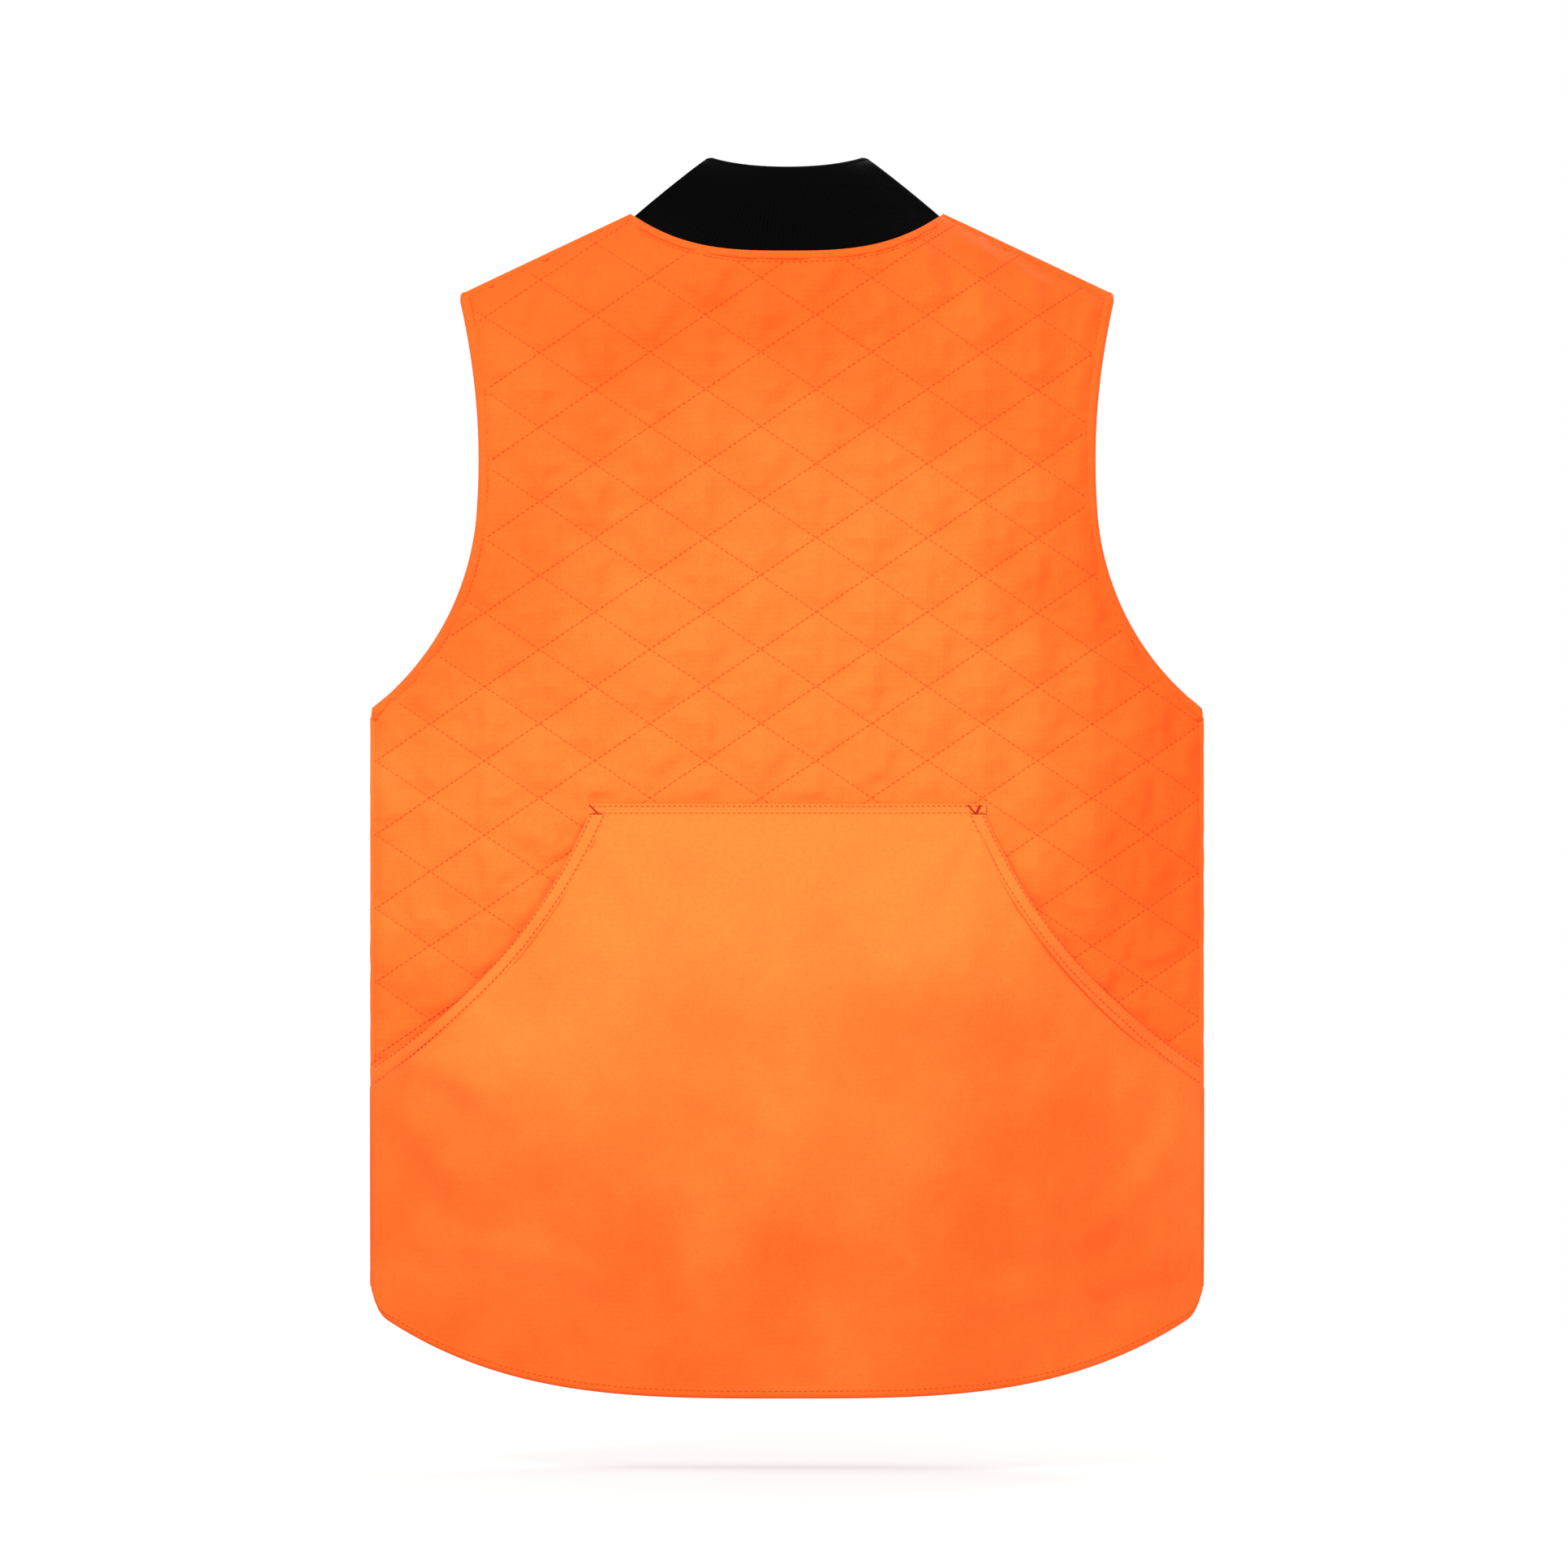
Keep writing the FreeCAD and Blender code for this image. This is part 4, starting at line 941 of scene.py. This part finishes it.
def strip(name, curves, thick_of, side=1, stand=pouch_stand, away=1, lift=0.0015):
    """A hemmed edge: a flat tube over a family of parallel curves."""
    rows = []
    outer = len(curves)
    for number in range(2 * outer):
        under = number >= outer
        curve = curves[number if not under else 2 * outer - 1 - number]
        rim = number in (0, outer - 1, outer, 2 * outer - 1)
        x, z = curve[:, 0], curve[:, 1]
        y = depth(x, z) + stand(x, z) + lift + (-thick_of if under else (0.0 if rim else 0.0005))
        rows.append(np.stack([side * x, away * y, z], 1))
    made = grid_object(name, np.array(rows).transpose(1, 0, 2), wrap=True)
    outward_fix(made)
    return made


def gapes(made):
    """Bakes a mouth hem's placement into its mesh; the rows along its free and sewn edges are worked out but
    not used.
    """
    rows = [mouth(inset)[30] for inset in (LIP + 0.0005, -0.0005)]
    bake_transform(made)


for side_name, side in SIDES:
    curves = [mouth(share * LIP) for share in np.linspace(0, 1, 7)]
    lip = strip(f"pouch_mouth_hem_{side_name}", curves, 0.0016, side, lift=0.0024)
    dress(lip, POUCH, None, (f"pouch_lip_{side_name}",))
    surface = surface_of(lip)
    runs = [seam_stitches(mouth(inset), side, 1, surface) for inset in (0.0018, 0.0084)]
    line = dress(stitches(f"pouch_mouth_stitches_{side_name}", runs, 0.00036), THREAD)
    for made in (lip, line):
        gapes(made)

x = np.linspace(-POUCH_HALF, POUCH_HALF, 130)
curves = [np.stack([x, np.full(130, POUCH_TOP - share * BAND)], 1) for share in np.linspace(0, 1, 7)]
band = strip("pouch_band_cloth", curves, 0.0016, lift=0.0019)
dress(band, POUCH, "torso", ("pouch_top_band",))
runs = []
for drop in (0.0014, BAND - 0.0010):
    places = np.stack([x, np.full(130, POUCH_TOP - drop)], 1)
    runs.append(seam_stitches(places, 1, 1, surface_of(band)))
dress(stitches("pouch_band_stitches", runs, 0.00036), THREAD, "torso")

# each stroke of a bar tack, as its distance from the middle at its foot and at its head
TACK_STROKES = {
    "left": ((0.1235, 0.129),),
    "right": ((0.1235, 0.1185), (0.1235, 0.1262), (0.124, 0.1266)),
}
for side_name, side in SIDES:
    runs = []
    for foot_x, head_x in TACK_STROKES[side_name]:
        for step in np.linspace(0, 1, 9):
            x = side * (foot_x + (head_x - foot_x) * step)
            z = POUCH_TOP - 0.0065 + 0.0055 * step
            points, outward = on_form([x - 0.0007, x + 0.0007], [z, z], 1, 0.0027)
            runs.append([(points[0], points[1], outward[0])])
    tack = stitches(f"bar_tack_threads_{side_name}", runs, 0.00042)
    dress(tack, TACK, "torso", (f"pouch_bar_tack_{side_name}",))

# ---------------------------------------------------------------- front pockets

for side_name, side in SIDES:
    grid = []
    mouth_foot = P_TOP - (P_OUT - MOUTH_TOP) * SLANT - 0.001
    for x in np.linspace(P_IN, P_OUT, 60):
        top = max(min(P_TOP, P_TOP - (x - MOUTH_TOP + 0.011) * SLANT), mouth_foot)
        grid.append(np.stack([np.full(80, x), np.linspace(P_FOOT, top, 80)], 1))
    grid = np.array(grid)
    x, z = grid[..., 0], grid[..., 1]
    fade = np.clip((x - P_IN) / 0.02, 0, 1) * np.clip((P_OUT - x) / 0.02, 0, 1)
    fade = fade * np.clip((z - P_FOOT) / 0.02, 0, 1)
    y = depth(x, z) + pocket_stand(x, z) + 0.0016 + fade * ripples(x, z, 0.05, side * 4.4) * 0.0012
    patch = grid_object(f"hand_pocket_{side_name}", np.stack([side * x, -y, z], -1))
    thickened(patch, POUCH_CLOTH)
    dress(patch, POUCH, "torso", (f"front_pocket_{side_name}",))
    wide, long = P_OUT - P_IN, P_TOP - P_FOOT
    curves = []
    for share in np.linspace(0, 1, 6):
        along = np.linspace(0, 1, 50)
        x = MOUTH_TOP + (P_OUT - MOUTH_TOP) * along - 0.012 * share
        curves.append(np.stack([np.maximum(x, P_IN), P_TOP - (P_OUT - MOUTH_TOP) * SLANT * along], 1))
    welt = strip(f"hand_pocket_mouth_{side_name}", curves, 0.0016, side, pocket_stand, -1, lift=0.0021)
    dress(welt, POUCH, "torso", (f"pocket_mouth_{side_name}",))
    surface = surface_of(welt)
    runs = [seam_stitches(curves[number], side, -1, surface) for number in (1, 4)]
    rim = [(P_IN + 0.002, P_TOP - 0.002), (P_IN + 0.002, P_FOOT + 0.002), (P_OUT - 0.002, P_FOOT + 0.002)]
    rim.append((P_OUT - 0.002, P_TOP - (P_OUT - MOUTH_TOP) * SLANT - 0.01))
    rim = resampled(np.column_stack([np.array(rim), np.zeros(4)]), 160)
    runs.append(seam_stitches(rim[:, :2], side, -1, surface_of(patch), 0.003))
    dress(stitches(f"hand_pocket_stitches_{side_name}", runs), THREAD, "torso")

# ---------------------------------------------------------------- collar

COLLAR_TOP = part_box("collar_back")[1].z
RIB = 0.0030


def collar_line(turn, inset):
    """The collar's foot and top at an angle from the centre back, at an inset from its outside."""
    away, sideways = np.cos(turn), np.sin(turn)
    front = np.abs(turn) > math.pi / 2
    x = (NECK - 0.0015) * sideways
    foot_z = np.where(front, front_neckline(x), back_neckline(x))
    y = np.maximum(0.0003, depth(x, foot_z) - 0.0003) * np.where(front, -1, 1)
    rise = np.abs(away) ** 1.5
    side_rise = COLLAR_TOP - NECK_RISE
    top_z = np.where(front, foot_z + side_rise + (0.047 - side_rise) * rise, COLLAR_TOP - 0.0095 * rise)
    reach = np.where(front, 0.049, 0.046)
    foot = np.stack([x, y, foot_z - 0.002], -1)
    top = np.stack([0.054 * sideways, reach * away, top_z], -1)
    inward = unit(np.stack([-sideways, -away, np.zeros_like(turn)], -1))
    return foot + inward * inset, top + inward * inset


def collar(name, start, end):
    """A doubled rib knit band with a rounded upper edge; its ribs run up the neck."""
    columns = int(abs(end - start) * 0.095 / RIB) * 7
    turn = np.linspace(start, end, columns)
    rib = np.cos(np.arange(columns) * 2 * math.pi / 7)
    rows = []
    up = np.linspace(0, 1, 26)
    foot, top = collar_line(turn, 0.0)
    slant = unit(top - foot)
    inward = unit(np.stack([-np.sin(turn), -np.cos(turn), np.zeros_like(turn)], -1))
    for share in up:
        full = math.sin(math.pi * min(1, 0.12 + share * 0.9)) ** 0.5
        place = foot + (top - foot) * share - inward * (0.0010 * full)
        rows.append(place - inward * (0.00055 * rib * full)[:, None])
    for angle in np.linspace(0.35, math.pi - 0.35, 6):
        place = top + inward * 0.0025 * (1 - math.cos(angle)) + slant * 0.0022 * math.sin(angle)
        rows.append(place - inward * (0.0004 * rib * math.cos(angle))[:, None])
    for share in up[::-1]:
        place = foot + (top - foot) * share + inward * 0.0052
        rows.append(place + inward * (0.0005 * rib)[:, None])
    grid = np.array(rows).transpose(1, 0, 2)
    count, around = grid.shape[:2]
    ends = [tuple(range(around))[::-1], tuple((count - 1) * around + n for n in range(around))]
    made = mesh_object(name, grid.reshape(-1, 3), grid_faces(count, around, True) + ends)
    outward_fix(made)
    return made


back_turn = math.radians(103.2)
collar_back = collar("rib_collar_back", -back_turn, back_turn)
dress(collar_back, KNIT, "torso", ("collar_back",))
front_turn = math.pi - math.asin(EDGE_NEAR / NECK)
for side_name, side in SIDES:
    piece = collar(f"rib_collar_{side_name}", side * back_turn, side * front_turn)
    dress(piece, KNIT, None, (f"collar_{side_name}",))
    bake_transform(piece)

# ---------------------------------------------------------------- zip, loop and label

zip_looks = [("zip_box", PLASTIC), ("zip_pin", METAL), ("zip_slider", METAL), ("zip_pull", METAL)]
for side_name, _ in SIDES:
    zip_looks += [(f"zip_teeth_{side_name}", PLASTIC), (f"zip_top_stop_{side_name}", METAL)]
for node_name, material in zip_looks:
    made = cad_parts[node_name]
    made.data.materials.clear()
    made.data.materials.append(material)


def zip_tape(side_name, side):
    """Herringbone tape with a corded edge along the teeth."""
    low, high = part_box(f"zip_tape_{side_name}")
    near, far = sorted((abs(low.x), abs(high.x)))
    x, z = np.meshgrid(np.linspace(near, far, 28), np.linspace(low.z, high.z, 900), indexing="ij")
    zigzag = np.abs(((x - near) / 0.008) % 1 - 0.5) * 2
    relief = 0.00007 * np.sin(2 * math.pi * (z / 0.004 + zigzag))
    relief = relief + 0.00012 * np.exp(-(((x - near - 0.0012) / 0.0008) ** 2))
    y = (low.y + high.y) / 2 - relief
    made = grid_object(f"zip_tape_{side_name}_cloth", np.stack([side * x, y, z], -1))
    thickened(made, 0.0005)
    return dress(made, TAPE, f"front_edge_{side_name}", (f"zip_tape_{side_name}",))


for side_name, side in SIDES:
    zip_tape(side_name, side)
    z = np.linspace(HEM + HEM_WIDE + 0.004, FRONT_NECK - 0.012, 500)
    surface = panel_surfaces[f"front_{side_name}"]
    runs = [
        seam_stitches(np.stack([np.full(500, EDGE_NEAR + inset), z], 1), side, -1, surface)
        for inset in (0.0045, 0.0085)
    ]
    line = stitches(f"zip_stitches_{side_name}", runs)
    dress(line, THREAD, f"front_edge_{side_name}")

low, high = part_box("hanger_loop")
LOOP_TURN, LOOP_REACH = math.radians(67), 0.024
turns = np.linspace(-LOOP_TURN, LOOP_TURN, 160)
hang = high.z - 0.0012 + LOOP_REACH * (math.cos(LOOP_TURN) - np.cos(turns))
line = np.stack([LOOP_REACH * np.sin(turns), np.full(160, (low.y + high.y) / 2), hang], 1)
out = np.tile([0, 1.0, 0], (160, 1))
side_way = unit(np.cross(unit(np.gradient(line, axis=0)), out))
strands = []
for strand in range(3):
    twist = (turns * 16 + strand * 2 * math.pi / 3)[:, None]
    middle = line + (out * np.cos(twist) + side_way * np.sin(twist)) * 0.00085
    strands.append(swept(f"loop_strand_{strand}", middle, out, side_way, 0.0009, 0.0009, power=2, around=10))
braid = strands[0]
with bpy.context.temp_override(active_object=braid, selected_editable_objects=strands):
    bpy.ops.object.join()
braid.name = "braided_hanger_loop"
dress(braid, TAPE, "loop", ("hanger_loop",))

low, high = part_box("neck_label")
x = np.linspace(low.x, high.x, 60)
z = np.linspace(low.z, high.z, 34)
gx, gz = np.meshgrid(x, z, indexing="ij")
wave = ripples(gx, gz, 0.02, 6.0) * 0.00025
label = grid_object("blank_label", np.stack([gx, (low.y + high.y) / 2 + wave, gz], -1))
thickened(label, 0.0005)
dress(label, LABEL, "torso", ("neck_label",))

# ---------------------------------------------------------------- stage

world = bpy.data.worlds.new("studio")
scene.world = world
world.use_nodes = True
tree = world.node_tree
seen, soft = tree.nodes["Background"], tree.nodes.new("ShaderNodeBackground")
seen.inputs["Color"].default_value = (1, 1, 1, 1)
soft.inputs["Color"].default_value = (1, 0.99, 0.98, 1)
soft.inputs["Strength"].default_value = 0.56
ray, either = tree.nodes.new("ShaderNodeLightPath"), tree.nodes.new("ShaderNodeMixShader")
tree.links.new(ray.outputs["Is Camera Ray"], either.inputs["Fac"])
tree.links.new(soft.outputs["Background"], either.inputs[1])
tree.links.new(seen.outputs["Background"], either.inputs[2])
tree.links.new(either.outputs["Shader"], tree.nodes["World Output"].inputs["Surface"])


def area_light(name, place, size, power, target=(0, 0, -0.35)):
    data = bpy.data.lights.new(name, "AREA")
    data.shape = "RECTANGLE"
    data.size = size[0]
    data.size_y = size[1]
    data.energy = power
    made = bpy.data.objects.new(name, data)
    scene.collection.objects.link(made)
    made.location = place
    made.rotation_euler = (Vector(target) - Vector(place)).to_track_quat("-Z", "Y").to_euler()


for name, place, size, power in (
    ("back_key", (1.2, 1.9, 1.4), (1.3, 1.3), 66),
    ("back_fill", (-1.6, 2.6, -0.1), (1.6, 1.6), 34),
    ("front_key", (-1.2, -1.9, 1.4), (1.3, 1.3), 66),
    ("front_fill", (1.6, -2.6, -0.1), (1.6, 1.6), 22),
):
    area_light(name, place, size, power)

turns = np.linspace(0, 2 * math.pi, 96, endpoint=False)
rim = [(2.4 * math.cos(a), 2.4 * math.sin(a), -0.80) for a in turns]
floor = mesh_object("floor", rim, [tuple(range(96))], False)
floor_look = bpy.data.materials.new("floor")
floor_look.use_nodes = True
tree = floor_look.node_tree
shader = tree.nodes["Principled BSDF"]
shader.inputs["Base Color"].default_value = (0.93, 0.93, 0.93, 1)
shader.inputs["Roughness"].default_value = 0.95
shader.inputs["Specular IOR Level"].default_value = 0.05
place, reach = node(tree, "ShaderNodeTexCoord"), node(tree, "ShaderNodeVectorMath", operation="LENGTH")
tree.links.new(place.outputs["Object"], reach.inputs[0])
fade = node(tree, "ShaderNodeMapRange", interpolation_type="SMOOTHSTEP")
for socket, value in (("From Min", 0.95), ("From Max", 1.9), ("To Min", 0.4), ("To Max", 0.0)):
    fade.inputs[socket].default_value = value
tree.links.new(reach.outputs["Value"], fade.inputs["Value"])
tree.links.new(fade.outputs["Result"], shader.inputs["Alpha"])
floor.data.materials.append(floor_look)

camera_data = bpy.data.cameras.new("camera")
camera = bpy.data.objects.new("camera", camera_data)
scene.collection.objects.link(camera)
DISTANCE = 6.0
camera_data.sensor_width = 36
camera_data.lens = 36 * (DISTANCE - 0.05) / 1.026
camera.location = (0.002, DISTANCE, -0.349)
camera.rotation_euler = (math.radians(90), 0, math.radians(180))
scene.camera = camera
scene.view_settings.view_transform = "Standard"
